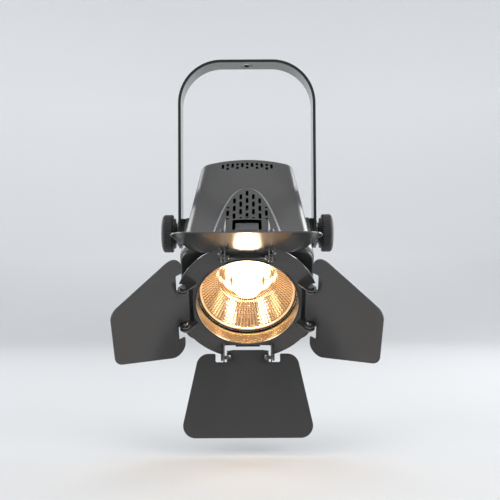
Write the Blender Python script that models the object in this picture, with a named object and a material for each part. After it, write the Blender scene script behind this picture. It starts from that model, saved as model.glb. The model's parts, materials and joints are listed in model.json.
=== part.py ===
"""Compact LED stage spotlight with a four-leaf barn door, hung by its yoke.

Metres, +Z up. The origin is the clamp bolt hole, on the top face of the yoke. The lamp points
towards -Y and tilts down about the X axis through the two clamp knobs.
Lengths below are in millimetres and pass through mm(). Parts of the lamp head are built level,
with the beam along -Y and the pivot axis at the head's own origin, and the head's empty tilts them.
"""

import math

import bmesh
import bpy
from mathutils import Matrix, Vector

# Yoke and pivot
PIVOT_DROP = 183.0  # yoke top face down to the pivot axis
HEAD_TILT = 35.0  # degrees below level, the beam at rest
STRAP_WIDTH = 32.0
STRAP_THICK = 3.0
YOKE_INNER = 69.5  # half the gap between the legs
YOKE_BEND = 46.0  # outer radius of the two bends
CLAMP_HOLE_R = 6.5
STUD_R = 4.0
STUD_HOLE_R = 4.4

# Housing: half widths and heights at its rear and front ends
REAR_Y = 76.0
FRONT_Y = -104.0
LIP_Y = -108.0
REAR_HALF_WIDTH, FRONT_HALF_WIDTH = 51.8, 63.0
REAR_TOP, FRONT_TOP = 50.0, 60.0
REAR_BOTTOM, FRONT_BOTTOM = 48.0, 57.0
ARCH_R = 170.0  # radius of the arched top, seen along the beam
BELLY_R = 600.0
TOP_CORNER_R, BELLY_CORNER_R = 12.0, 15.0
WALL = 2.5
SPLIT_Z = -20.0  # where the upper cover meets the lower one
GAP = 0.3  # clearance between pieces that touch

# Knobs
KNOB_R = 20.0
KNOB_RIBS = 30
KNOB_HUB_R = 11.0
KNOB_INNER_X, KNOB_OUTER_X = 74.3, 91.0

# Vents in the upper cover: obround slots, and dots that are almost round
VENT_WIDTH, VENT_LENGTH = 2.8, 11.5
ARCH_VENT_PITCH, ARCH_VENT_STEP = 16.4, 6.3
REAR_VENT_STEP = 5.3
DOT = VENT_WIDTH * 1.05 / VENT_LENGTH  # share of a slot's length
REAR_SLOT, SHORT_SLOT = 0.94, 0.56

# Arched panel: apex, then its half width at a distance ahead of the apex, and how deep it is sunk
ARCH_APEX_Y, ARCH_LENGTH, ARCH_HALF = 0.0, 72.0, 28.7
ARCH_RISE = 0.6

# Accessory latch on top of the housing
LATCH_OPENING = 14.0
LATCH_HALF = 11.0
LATCH_PIN_Y, LATCH_PIN_Z = -92.5, 59.8
LATCH_PIN_R = 1.5
LATCH_RIB_X = 20.7
# Side view (y, z) of the flap: a plate under the pin, and the lip that keeps the hub's flange in
FLAP = (
    (-74.7, 57.0),
    (-74.7, 58.2),
    (LATCH_PIN_Y, 61.9),
    (-117.2, 61.9),
    (-117.2, 54.6),
    (-116.0, 54.6),
    (-116.0, 60.7),
    (LATCH_PIN_Y, 60.7),
)

# Front bezel and the clips that hold the barn door by its flange
BEZEL_Y = -114.0
BEZEL_INSET = 1.4
FLANGE_R = 54.0
FLANGE_Y = -115.6
CLIP_HALF = 12.0
# Side view (y, z) of the clip under the door: a foot on the bezel and a lip before the flange
CLIP = (
    (-113.0, -58.0),
    (-113.0, -54.6),
    (-117.4, -54.6),
    (-117.4, -51.0),
    (-118.8, -51.0),
    (-118.8, -58.0),
)

# Heatsink
FIN_COUNT = 9
FIN_THICK, FIN_STEP = 1.8, 8.4

# Optics, as distances in front of the pivot axis
RIM_Y = -107.0
RIM_R = 45.0
FOCAL_4F = 63.0  # four times the paraboloid's focal length
THROAT_Y = -80.0
DOME_R = 16.7
DOME_Y = -88.0

# Barn door
PLATE_Y = -125.2
PLATE_THICK = 1.2
PLATE_R = 67.5
HUB_R = 48.0
HUB_WALL = 1.6
HUB_REAR_Y = -110.0
NOTCH_HALF = 22.5
NOTCH_FLOOR = 51.0
HINGE_R = 59.0
HINGE_Y = -133.9
SHEET_DROP = 5.0  # from the hinge axis to the leaf's sheet
LEAF_THICK = 1.2
LEAF_EAR = 19.3
RELIEF_FLOOR = 4.4
# Half width at the hinge end and at the free end, distance from the hinge axis to each of these
# ends and to the end of the tongue between the ears, half width where the reliefs for the ears
# stop, and opening angle at rest
UPRIGHT_LEAF = (48.0, 66.0, -3.8, 77.4, -7.4, 31.5)
SIDE_LEAF = (62.0, 29.0, -2.6, 76.3, -9.5, 37.0)
LEAVES = {
    "top": (*UPRIGHT_LEAF, 45.5),
    "bottom": (*UPRIGHT_LEAF, 40.7),
    "left": (*SIDE_LEAF, 40.6),
    "right": (*SIDE_LEAF, 40.6),
}
LEAF_TURN = {"top": 0.0, "left": 90.0, "bottom": 180.0, "right": 270.0}
LEAF_CORNER_R = 12.0

# Rear panel: (x, z) places on it
PANEL_Y = 67.0
DISPLAY = (0.0, 28.0)
BUTTON_Z = 14.5
BUTTON_X = (-18.0, -6.0, 6.0, 18.0)
DMX_Z, DMX_X = -5.0, 22.0
POWER_Z, POWER_X = -29.5, 23.0
LOOP_Z, LOOP_R, LOOP_BAR_R = 39.9, 9.0, 1.6

ROUND_STEPS = 40

PAINT = ("black_paint", (0.035, 0.036, 0.038), 0.55, 0.0)
PLASTIC = ("black_plastic", (0.03, 0.03, 0.032), 0.5, 0.0)
RUBBER = ("rubber", (0.02, 0.02, 0.02), 0.8, 0.0)
STEEL = ("steel", (0.6, 0.6, 0.62), 0.3, 1.0)
ALUMINIUM = ("aluminium", (0.75, 0.75, 0.77), 0.35, 1.0)
MIRROR = ("mirror", (0.9, 0.9, 0.9), 0.08, 1.0)
GLOW = ("led", (1.0, 0.85, 0.6), 0.3, 0.0)
BOARD = ("circuit_board", (0.03, 0.2, 0.08), 0.5, 0.0)
WINDOW = ("display_window", (0.02, 0.02, 0.03), 0.1, 0.0)


def mm(*values):
    """Millimetres to metres: one number, or several as a vector."""
    if len(values) == 1:
        return values[0] * 0.001
    return Vector(values) * 0.001


def clear_scene():
    for obj in list(bpy.data.objects):
        bpy.data.objects.remove(obj)


def material(finish):
    name, colour, roughness, metallic = finish
    found = bpy.data.materials.get(name)
    if found:
        return found
    made = bpy.data.materials.new(name)
    made.use_nodes = True
    shader = made.node_tree.nodes["Principled BSDF"]
    shader.inputs["Base Color"].default_value = (*colour, 1.0)
    shader.inputs["Roughness"].default_value = roughness
    shader.inputs["Metallic"].default_value = metallic
    made.diffuse_color = (*colour, 1.0)
    return made


def empty(name, parent=None, at=(0, 0, 0), turn=None):
    """A frame that parts are parented to: at is in millimetres, turn is a matrix."""
    obj = bpy.data.objects.new(name, None)
    bpy.context.scene.collection.objects.link(obj)
    obj.parent = parent
    obj.matrix_basis = Matrix.Translation(mm(*at)) @ (turn or Matrix.Identity(4))
    return obj


def to_object(name, mesh_in_mm, finish, parent, origin=(0, 0, 0)):
    """Makes an object from a bmesh in the parent's frame, with its own origin there too."""
    bmesh.ops.translate(mesh_in_mm, verts=mesh_in_mm.verts, vec=-Vector(origin))
    bmesh.ops.scale(mesh_in_mm, vec=(0.001,) * 3, verts=mesh_in_mm.verts)
    bmesh.ops.recalc_face_normals(mesh_in_mm, faces=mesh_in_mm.faces)
    mesh = bpy.data.meshes.new(name)
    mesh_in_mm.to_mesh(mesh)
    mesh_in_mm.free()
    if finish:
        mesh.materials.append(material(finish))
    obj = bpy.data.objects.new(name, mesh)
    bpy.context.scene.collection.objects.link(obj)
    obj.parent = parent
    obj.location = mm(*origin)
    mesh.shade_smooth()
    mesh.set_sharp_from_angle(angle=math.radians(35))
    return obj


def boolean(obj, tool, operation="DIFFERENCE"):
    """Cuts or joins with a helper object, which is left out of the model."""
    tool.hide_render = True
    tool.display_type = "WIRE"
    modifier = obj.modifiers.new(tool.name, "BOOLEAN")
    modifier.operation = operation
    modifier.object = tool
    modifier.solver = "EXACT"
    return obj


# Basic solids. Each returns a bmesh in millimetres.


def prism(outline, low, high, plane="XZ"):
    """Extrudes a closed outline from low to high, square to its plane."""
    made = bmesh.new()

    def place(a, b, depth):
        return {"XZ": (a, depth, b), "XY": (a, b, depth), "YZ": (depth, a, b)}[plane]

    base = made.faces.new([made.verts.new(place(a, b, low)) for a, b in outline])
    grown = bmesh.ops.extrude_face_region(made, geom=[base])
    top = [v for v in grown["geom"] if isinstance(v, bmesh.types.BMVert)]
    bmesh.ops.translate(made, verts=top, vec=Vector(place(0, 0, high - low)))
    return made


def box(low, high):
    outline = [(low[0], low[2]), (high[0], low[2]), (high[0], high[2]), (low[0], high[2])]
    return prism(outline, low[1], high[1])


def turned(profile, axis="Y", centre=(0, 0, 0), steps=ROUND_STEPS):
    """Spins a closed profile of (radius, distance along the axis) points."""
    made = bmesh.new()
    along, across = {
        "X": (Vector((1, 0, 0)), Vector((0, 0, 1))),
        "Y": (Vector((0, 1, 0)), Vector((1, 0, 0))),
        "Z": (Vector((0, 0, 1)), Vector((1, 0, 0))),
    }[axis]
    ring = [made.verts.new(across * r + along * d) for r, d in profile]
    edges = [made.edges.new((a, b)) for a, b in zip(ring, ring[1:] + ring[:1])]
    bmesh.ops.spin(
        made,
        geom=ring + edges,
        cent=(0, 0, 0),
        axis=along,
        angle=math.tau,
        steps=steps,
        use_merge=True,
        use_duplicate=False,
    )
    bmesh.ops.remove_doubles(made, verts=made.verts, dist=0.0005)
    bmesh.ops.dissolve_degenerate(made, edges=made.edges, dist=0.0005)
    on_axis = [edge for edge in made.edges if not edge.link_faces]
    bmesh.ops.delete(made, geom=on_axis, context="EDGES")
    bmesh.ops.translate(made, verts=made.verts, vec=Vector(centre))
    return made


def cylinder(radius, low, high, axis="Y", centre=(0, 0, 0), steps=ROUND_STEPS):
    return turned([(0, low), (radius, low), (radius, high), (0, high)], axis, centre, steps)


def loft(rings):
    """Bridges closed rings of equal length and caps both ends."""
    made = bmesh.new()
    rows = [[made.verts.new(point) for point in ring] for ring in rings]
    for near, far in zip(rows, rows[1:]):
        for i in range(len(near)):
            j = (i + 1) % len(near)
            made.faces.new((near[i], near[j], far[j], far[i]))
    made.faces.new(rows[0][::-1])
    made.faces.new(rows[-1])
    bmesh.ops.triangulate(made, faces=made.faces)
    return made


def arc(centre, radius, start, end, steps):
    """Points on a circle, from start to end degrees."""
    angles = [math.radians(start + (end - start) * i / steps) for i in range(steps + 1)]
    return [(centre[0] + radius * math.cos(a), centre[1] + radius * math.sin(a)) for a in angles]


def rounded(corners, radius, steps=5):
    """The outline of a convex polygon, given anticlockwise, with its corners rounded."""
    points = []
    for i, corner in enumerate(corners):
        here = Vector(corner)
        back = (Vector(corners[i - 1]) - here).normalized()
        ahead = (Vector(corners[(i + 1) % len(corners)]) - here).normalized()
        half = back.angle(ahead) / 2
        centre = here + (back + ahead).normalized() * radius / math.sin(half)
        first = here + back * radius / math.tan(half) - centre
        last = here + ahead * radius / math.tan(half) - centre
        start = math.degrees(math.atan2(first.y, first.x))
        sweep = math.degrees(first.angle_signed(last))
        points += arc(centre, radius, start, start - sweep, steps)
    return points


def rectangle(x, z, half_width, half_height):
    return [
        (x - half_width, z - half_height),
        (x + half_width, z - half_height),
        (x + half_width, z + half_height),
        (x - half_width, z + half_height),
    ]


def slot_outline(x, y, width, length, steps=5):
    """An obround with its long side along the second axis."""
    r = width / 2
    straight = length / 2 - r
    return arc((x, y + straight), r, 0, 180, steps) + arc((x, y - straight), r, 180, 360, steps)


# Housing sections


def housing_size(y):
    """Half width, top and bottom of the housing at y."""
    share = (REAR_Y - y) / (REAR_Y - FRONT_Y)
    return (
        REAR_HALF_WIDTH + (FRONT_HALF_WIDTH - REAR_HALF_WIDTH) * share,
        REAR_TOP + (FRONT_TOP - REAR_TOP) * share,
        REAR_BOTTOM + (FRONT_BOTTOM - REAR_BOTTOM) * share,
    )


def arched_side(half_width, height, arch_r, corner_r, corner_steps=5, arch_steps=6):
    """Points (x, z) over the top, from the right wall's corner to the left one's."""
    centre_z = height - arch_r
    corner_z = centre_z + math.sqrt((arch_r - corner_r) ** 2 - (half_width - corner_r) ** 2)
    lean = math.degrees(math.atan2(corner_z - centre_z, half_width - corner_r))
    right = arc((half_width - corner_r, corner_z), corner_r, 0, lean, corner_steps)
    middle = arc((0, centre_z), arch_r, lean, 180 - lean, 2 * arch_steps + 1)[1:-1]
    left = [(-x, z) for x, z in reversed(right)]
    return right + middle + left


def section(y, inset=0.0, upper=True):
    """The open path of the upper or lower cover at y, set in from the outer skin."""
    width, top, bottom = housing_size(y)
    width -= inset
    if upper:
        over = arched_side(width, top - inset, ARCH_R - inset, TOP_CORNER_R - inset * 0.5)
        return [(width, SPLIT_Z)] + over + [(-width, SPLIT_Z)]
    low = SPLIT_Z - GAP
    under = arched_side(width, bottom - inset, BELLY_R - inset, BELLY_CORNER_R - inset * 0.5)
    return [(width, low)] + [(x, -z) for x, z in under] + [(-width, low)]


def full_section(y, inset):
    """The closed outline of the whole housing at y, set in from the outer skin."""
    upper = section(y, inset, upper=True)[1:-1]
    lower = section(y, inset, upper=False)[1:-1]
    return upper + lower[::-1]


# (y, inset of the outer skin): the rear edge and the front lip are rounded
COVER_STATIONS = (
    (REAR_Y, 3.0),
    (REAR_Y - 0.8, 1.4),
    (REAR_Y - 3.0, 0.0),
    (-16.0, 0.0),
    (FRONT_Y, 0.0),
    (FRONT_Y - 2.6, 1.0),
    (LIP_Y, 3.0),
)


def cover_mesh(upper):
    """One of the two shells, open along the split and at both ends."""
    rings = []
    for y, inset in COVER_STATIONS:
        outer = section(y, inset, upper)
        inner = section(y, inset + (1.3 if inset >= 3.0 else WALL), upper)
        rings.append([(x, y, z) for x, z in outer + inner[::-1]])
    return loft(rings)


def gathered(solids):
    """One mesh holding several solids that don't touch each other."""
    made = bmesh.new()
    for one in solids:
        mesh = bpy.data.meshes.new("solid")
        one.to_mesh(mesh)
        one.free()
        made.from_mesh(mesh)
        bpy.data.meshes.remove(mesh)
    return made


def vent(x, y, scale):
    outline = slot_outline(x, y, VENT_WIDTH, VENT_LENGTH * scale, 2)
    return prism(outline, 35, 80, plane="XY")


def arch_outline():
    """The arched panel seen from above: it widens forwards from its apex."""
    steps = 9
    reach = ARCH_APEX_Y - FRONT_Y - 1.0
    side = []
    for i in range(steps + 1):
        ahead = reach * (i / steps) ** 2
        side.append((ARCH_HALF * (ahead / ARCH_LENGTH) ** 0.43, ARCH_APEX_Y - ahead))
    return side + [(-x, y) for x, y in reversed(side[1:])]


def arch_panel(head):
    """The arched panel: a patch of skin that stands an even height above the rest."""
    panel = to_object("join_arch", prism(arch_outline(), 30, 80, plane="XY"), None, head)
    for name, inset, operation in (("limit", -ARCH_RISE, "INTERSECT"), ("hollow", WALL / 2, "DIFFERENCE")):
        rings = [[(x, y, z) for x, z in full_section(y, inset)] for y in (30.0, -125.0)]
        boolean(panel, to_object(f"cut_arch_{name}", loft(rings), None, head), operation)
    return panel


def arch_vents():
    """The grille in the arched panel: seven staggered columns."""
    places = []
    for column, (first, count) in enumerate(((-12.9, 4), (-20.7, 3), (-29.2, 3), (-54.9, 1))):
        for row in range(count):
            y = first - row * ARCH_VENT_PITCH
            for side in ((1,) if column == 0 else (1, -1)):
                places.append((side * column * ARCH_VENT_STEP, y, 1.0))
    for side in (1, -1):
        places.append((side * 3 * ARCH_VENT_STEP, -42.9, DOT))
        places.append((side * 3 * ARCH_VENT_STEP, -66.5, DOT))
        places.append((side * ARCH_VENT_STEP, -66.3, DOT))
    return places


def rear_vents():
    """Two staggered rows near the rear edge: slots, with pairs of dots between them."""
    places = []
    for i in range(-5, 6):
        x = i * REAR_VENT_STEP
        if i % 2:
            places.append((x, 59.6, REAR_SLOT))
        else:
            places.append((x, 62.0, SHORT_SLOT))
            places.append((x, 52.9, SHORT_SLOT))
    return places


# Sub-parts


def yoke():
    """A flat strap bent into a U, with round ends about the pivot."""
    outer_x = YOKE_INNER + STRAP_THICK
    half = STRAP_WIDTH / 2
    path = []  # outer point, inner point, half width
    for angle in (85, 70, 55, 40, 25, 10, 0):
        drop = half * math.sin(math.radians(angle))
        width = half * math.cos(math.radians(angle))
        z = -PIVOT_DROP - drop
        path.append(((outer_x, z), (YOKE_INNER, z), width))
    bend_x, bend_z = outer_x - YOKE_BEND, -YOKE_BEND
    outside = arc((bend_x, bend_z), YOKE_BEND, 0, 90, 10)
    inside = arc((bend_x, bend_z), YOKE_BEND - STRAP_THICK, 0, 90, 10)
    path += [(a, b, half) for a, b in zip(outside, inside)]
    path += [((-a[0], a[1]), (-b[0], b[1]), w) for a, b, w in reversed(path)]
    rings = [
        [(a[0], -w, a[1]), (a[0], w, a[1]), (b[0], w, b[1]), (b[0], -w, b[1])] for a, b, w in path
    ]
    strap = to_object("yoke", loft(rings), PAINT, None)
    bore = cylinder(STUD_HOLE_R, -90, 90, "X", (0, 0, -PIVOT_DROP), 24)
    boolean(strap, to_object("cut_yoke_pivot", bore, None, None))
    hole = cylinder(CLAMP_HOLE_R, -10, 10, "Z", (0, 0, 0), 32)
    boolean(strap, to_object("cut_yoke_clamp", hole, None, None))


def knob(side, pivot):
    """A ribbed hand knob, its steel stud, the washer under it and the friction disc inside."""
    name = "right" if side > 0 else "left"
    stud_end = KNOB_OUTER_X - 5.0
    profile = [
        (STUD_R + GAP, KNOB_INNER_X),
        (KNOB_HUB_R, KNOB_INNER_X),
        (KNOB_HUB_R, 76.2),
        (16.0, 76.2),
        (16.0, 78.6),
        (KNOB_R - 0.8, 78.6),
        (KNOB_R, 79.4),
        (KNOB_R, 86.5),
        (KNOB_R - 3.0, 90.0),
        (8.0, KNOB_OUTER_X),
        (0.0, KNOB_OUTER_X),
        (0.0, stud_end + GAP),
        (STUD_R + GAP, stud_end + GAP),
    ]
    flip = Matrix.Scale(side, 4, (1, 0, 0))

    def facing(made):
        bmesh.ops.transform(made, matrix=flip, verts=made.verts)
        return made

    body = to_object(f"knob_{name}", facing(turned(profile, "X", steps=30)), PLASTIC, pivot)
    angles = [math.tau * i / KNOB_RIBS for i in range(KNOB_RIBS)]
    grooves = gathered(
        cylinder(0.75, 78.0, 92.0, "X", (0, math.sin(a) * 20.3, math.cos(a) * 20.3), 3) for a in angles
    )
    boolean(body, to_object(f"cut_ribs_{name}", facing(grooves), None, pivot))
    stud = cylinder(STUD_R, 54.0, stud_end, "X", steps=24)
    to_object(f"clamp_stud_{name}", facing(stud), STEEL, pivot)
    washer = turned([(STUD_HOLE_R, 72.8), (13.0, 72.8), (13.0, 74.0), (STUD_HOLE_R, 74.0)], "X", steps=24)
    to_object(f"knob_washer_{name}", facing(washer), STEEL, pivot)
    disc = turned([(STUD_HOLE_R, 66.8), (16.0, 66.8), (16.0, 69.2), (STUD_HOLE_R, 69.2)], "X", steps=24)
    to_object(f"friction_disc_{name}", facing(disc), RUBBER, pivot)


def covers(head):
    """The two housing shells. The upper one has the pivot bosses, the grilles and the slot."""
    upper = to_object("upper_cover", cover_mesh(True), PAINT, head)
    for side in (1, -1):
        boss = cylinder(16.5, min(side * 54.0, side * 66.5), max(side * 54.0, side * 66.5), "X", steps=32)
        boolean(upper, to_object(f"join_boss_{side}", boss, None, head), "UNION")
    boolean(upper, arch_panel(head), "UNION")
    for side in (1, -1):
        boolean(upper, to_object(f"join_latch_rib_{side}", latch_rib(side), None, head), "UNION")
    cuts = [vent(*place) for place in arch_vents() + rear_vents()]
    cuts.append(box((-LATCH_OPENING, -115.0, 45.0), (LATCH_OPENING, -70.1, 80.0)))
    cuts.append(cylinder(STUD_HOLE_R, -80, 80, "X", steps=24))
    boolean(upper, to_object("cut_upper_cover", gathered(cuts), None, head))
    shaft_r = LATCH_PIN_R + GAP
    bore = [(0, 12), (shaft_r, 12), (shaft_r, 23.3), (2.8, 23.3), (2.8, 26), (0, 26)]
    for side in (1, -1):
        ends = [(r, side * d) for r, d in bore]
        cutter = turned(ends, "X", (0, LATCH_PIN_Y, LATCH_PIN_Z), 12)
        boolean(upper, to_object(f"cut_latch_bore_{side}", cutter, None, head))
    to_object("lower_cover", cover_mesh(False), PAINT, head)


def latch_rib(side):
    """A wedge on the upper cover that holds one end of the latch pin."""
    centre = side * LATCH_RIB_X
    foot_z = 54.0
    rings = []
    stations = ((-68.0, 58.6, 0.3, 0.2), (-90.0, 63.4, 2.0, 0.8), (-96.0, 61.5, 2.0, 0.8))
    for y, crest_z, foot, crest in stations:
        foot_corners = [(centre - foot, y, foot_z), (centre + foot, y, foot_z)]
        rings.append(foot_corners + [(centre + crest, y, crest_z), (centre - crest, y, crest_z)])
    return loft(rings)


def latch(head):
    """The spring flap over the accessory slot, on a pin between the cover's two ribs."""
    centre = (0, LATCH_PIN_Y, LATCH_PIN_Z)
    plate = prism(FLAP, -LATCH_HALF, LATCH_HALF, plane="YZ")
    flap = to_object("accessory_latch", plate, PAINT, head, centre)
    barrel = cylinder(3.0, -LATCH_HALF + 0.5, LATCH_HALF - 0.5, "X", centre, 16)
    boolean(flap, to_object("join_latch_barrel", barrel, None, head), "UNION")
    bore = cylinder(LATCH_PIN_R + GAP, -30, 30, "X", centre, 16)
    boolean(flap, to_object("cut_latch_bore", bore, None, head))
    pin = [(0, -25.4), (2.5, -25.4), (2.5, -23.6), (LATCH_PIN_R, -23.6)]
    pin += [(r, -d) for r, d in reversed(pin)]
    to_object("latch_pin", turned(pin, "X", centre, 12), STEEL, head)


def front(head):
    """The bezel on the housing's mouth, with three clips for the door, and the reflector's ring."""
    stations = (
        (-100.0, BEZEL_INSET + 3.4),
        (LIP_Y - GAP, BEZEL_INSET + 3.4),
        (LIP_Y - GAP, BEZEL_INSET),
        (BEZEL_Y + 1.6, BEZEL_INSET),
        (BEZEL_Y, BEZEL_INSET + 1.6),
    )
    rings = [[(x, y, z) for x, z in full_section(FRONT_Y, inset)] for y, inset in stations]
    bezel = to_object("front_bezel", loft(rings), PLASTIC, head)
    for turn in (0, 90, -90):
        clip = prism(CLIP, -CLIP_HALF, CLIP_HALF, plane="YZ")
        bmesh.ops.rotate(clip, matrix=Matrix.Rotation(math.radians(turn), 3, "Y"), verts=clip.verts)
        boolean(bezel, to_object(f"join_clip_{turn}", clip, None, head), "UNION")
    hole = cylinder(HUB_R + HUB_WALL + 0.5, -130, -90, "Y", steps=48)
    boolean(bezel, to_object("cut_bezel", hole, None, head))
    ring = [(45.4, -106.8), (49.8, -106.8), (49.8, -105.0), (45.4, -105.0)]
    to_object("reflector_ring", turned(ring, "Y", steps=48), PLASTIC, head)


def paraboloid(y):
    """The reflector's inner radius at y."""
    vertex = RIM_Y + RIM_R**2 / FOCAL_4F
    return math.sqrt(FOCAL_4F * (vertex - y))


def optics(head):
    """The reflector, the LED's dome and the board it sits on."""
    steps = 7
    inner = [THROAT_Y - 0.4 + (RIM_Y - THROAT_Y + 0.4) * i / steps for i in range(steps + 1)]
    skin = [(paraboloid(y), y) for y in inner]
    back = [(r + 1.0, y + 0.9) for r, y in reversed(skin)]
    profile = skin + [(RIM_R + 0.2, RIM_Y + 0.3)] + back[1:]
    to_object("reflector", turned(profile, "Y", steps=40), MIRROR, head)
    dome = [(0.0, -79.2), (DOME_R, -79.2)]
    dome += [(r, -d) for r, d in arc((0, -DOME_Y), DOME_R, 0, 90, 5)]
    to_object("led_dome", turned(dome, "Y", steps=28), GLOW, head)
    to_object("led_board", cylinder(22.0, -78.9, -77.7, "Y", steps=24), ALUMINIUM, head)


def heatsink(head):
    """A comb of upright fins behind the LED."""
    edge = FIN_STEP * (FIN_COUNT - 1) / 2 + FIN_THICK / 2
    comb = [(edge, -77.4), (-edge, -77.4)]
    for i in range(FIN_COUNT):
        x = -edge + i * FIN_STEP
        comb += [(x, -15.0), (x + FIN_THICK, -15.0)]
        if i < FIN_COUNT - 1:
            comb += [(x + FIN_THICK, -72.0), (x + FIN_STEP, -72.0)]
    to_object("heatsink", prism(comb, -22.0, 40.0, plane="XY"), ALUMINIUM, head)


def boards(head):
    """The mains driver low in the housing and the control board behind the display."""
    driver = to_object("driver_board", box((-40, -55, -43.6), (40, 40, -42.0)), BOARD, head)
    blocks = (
        ((-34, -40, -42.3), (-8, -10, -26.0)),
        ((2, -44, -42.3), (32, -12, -28.0)),
        ((-30, 2, -42.3), (-4, 30, -27.0)),
        ((8, 0, -42.3), (34, 32, -33.0)),
    )
    for i, (low, high) in enumerate(blocks):
        boolean(driver, to_object(f"join_block_{i}", box(low, high), None, head), "UNION")
    to_object("control_board", box((-38, 57.0, 10.0), (38, 58.6, 40.0)), BOARD, head)


def rear(head):
    """The connector panel with its sockets, display and buttons."""
    outline = full_section(PANEL_Y - 1.2, WALL + GAP)
    panel = to_object("rear_panel", prism(outline, PANEL_Y - 2.0, PANEL_Y), PAINT, head)

    def cut(name, made):
        boolean(panel, to_object(f"cut_{name}", made, None, head))

    cut("display", box((-20.6, 60, DISPLAY[1] - 7.3), (20.6, 75, DISPLAY[1] + 7.3)))
    window = box((-20.2, 64.6, DISPLAY[1] - 6.9), (20.2, 67.4, DISPLAY[1] + 6.9))
    to_object("display_window", window, WINDOW, head)
    for i, x in enumerate(BUTTON_X):
        cut(f"button_{i}", cylinder(3.6, 60, 75, "Y", (x, 0, BUTTON_Z), 12))
        cap = [(0, 61.0), (4.4, 61.0), (4.4, 62.6), (3.2, 62.6), (3.2, 68.8), (2.7, 69.3), (0, 69.3)]
        at = (x, 0, BUTTON_Z)
        to_object(f"menu_button_{i + 1}", turned(cap, "Y", at, 12), PLASTIC, head, at)
    for name, side in (("input", -1), ("output", 1)):
        at = (side * DMX_X, 0, DMX_Z)
        cut(f"dmx_{name}", cylinder(11.3, 60, 75, "Y", at, 32))
        dmx_socket(name, at, head)
        spot = (side * POWER_X, POWER_Z)
        cut(f"power_{name}", box((spot[0] - 13.9, 60, spot[1] - 9.4), (spot[0] + 13.9, 75, spot[1] + 9.4)))
        power_socket(name, spot, head)
    cut("fuse", cylinder(5.3, 60, 75, "Y", (0, 0, POWER_Z), 24))
    fuse = [(0, 50), (5.0, 50), (5.0, 67.3), (6.4, 67.3), (6.4, 69.6), (5.6, 70.6), (0, 70.6)]
    to_object("fuse_holder", turned(fuse, "Y", (0, 0, POWER_Z), 24), PLASTIC, head)
    safety_loop(head)


def dmx_socket(name, at, head):
    """A round three-pole socket: pins in the input, holes in the output."""
    body = [(0, 50), (11.0, 50), (11.0, 67.3), (12.4, 67.3), (12.4, 69.0)]
    body += [(9.2, 69.0), (9.2, 56.0), (0, 56.0)] if name == "input" else [(11.0, 70.0), (0, 70.0)]
    socket = to_object(f"dmx_{name}", turned(body, "Y", at, 32), PLASTIC, head)
    for i in range(3):
        angle = math.radians(-90 + 120 * i)
        pole = (at[0] + 5.0 * math.cos(angle), 0, at[2] + 5.0 * math.sin(angle))
        if name == "input":
            pin = cylinder(1.2, 55.0, 66.0, "Y", pole, 10)
            boolean(socket, to_object(f"join_dmx_pin_{i}", pin, None, head), "UNION")
        else:
            hole = cylinder(1.6, 58.0, 72.0, "Y", pole, 10)
            boolean(socket, to_object(f"cut_dmx_hole_{i}", hole, None, head))


def power_socket(name, spot, head):
    """A mains inlet with three blades, or an outlet with three slots."""
    x, z = spot
    body = box((x - 13.5, 48.0, z - 9.0), (x + 13.5, 67.4, z + 9.0))
    socket = to_object(f"power_{name}", body, PLASTIC, head)
    flange = box((x - 15.2, 67.3, z - 10.6), (x + 15.2, 69.2, z + 10.6))
    boolean(socket, to_object(f"join_flange_{name}", flange, None, head), "UNION")
    if name == "input":
        recess = rounded(rectangle(x, z, 11.8, 7.5), 2.5, 3)
        boolean(socket, to_object("cut_inlet", prism(recess, 53.0, 75.0), None, head))
    for i, (dx, dz) in enumerate(((-7.0, -2.0), (0.0, 2.0), (7.0, -2.0))):
        blade = (x + dx - 1.0, 52.0 if name == "input" else 58.0, z + dz - 2.0)
        tip = (x + dx + 1.0, 65.0 if name == "input" else 75.0, z + dz + 2.0)
        kind = "UNION" if name == "input" else "DIFFERENCE"
        boolean(socket, to_object(f"blade_{name}_{i}", box(blade, tip), None, head), kind)


def safety_loop(head):
    """A bent steel bar for the safety cable, on a small foot plate."""
    foot = box((-12.0, PANEL_Y + GAP, LOOP_Z - 2.5), (12.0, PANEL_Y + 1.9, LOOP_Z + 2.5))
    loop = to_object("safety_loop", foot, STEEL, head)
    bar = [(LOOP_R, 68.0)] + arc((0, 73.0), LOOP_R, 0, 180, 12) + [(-LOOP_R, 68.0)]
    rings = []
    for i, (x, y) in enumerate(bar):
        before = Vector(bar[max(i - 1, 0)])
        after = Vector(bar[min(i + 1, len(bar) - 1)])
        heading = (after - before).normalized()
        aside = Vector((heading.y, -heading.x))
        ring = arc((0, 0), LOOP_BAR_R, 0, 315, 7)
        rings.append([(x + aside.x * a, y + aside.y * a, LOOP_Z + b) for a, b in ring])
    boolean(loop, to_object("join_loop", loft(rings), None, head), "UNION")


def cover_screws(head):
    """Four screws that close the lower cover from below."""
    places = ((-40.0, 50.0), (40.0, 50.0), (-46.0, -85.0), (46.0, -85.0))
    for i, (x, y) in enumerate(places):
        z = -housing_size(y)[2] + x * x / (2 * BELLY_R)
        head_profile = [(0, -0.5), (2.0, -0.5), (3.2, -1.0), (3.2, -2.2), (2.4, -2.8), (0, -2.8)]
        to_object(f"cover_screw_{i + 1}", turned(head_profile, "Z", (x, y, z), 14), STEEL, head)


# Barn door


def hinge_ear():
    """The forward tab beside a notch, in the (z, y) plane of its sheet, for a leaf at the top."""
    nose = arc((HINGE_R, HINGE_Y), 5.2, -150, 60, 8)
    foot, back = HINGE_R - 11.6, HINGE_R - 1.6
    return [(foot, -124.4), (foot, -127.0)] + nose + [(back, -124.4)]


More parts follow.
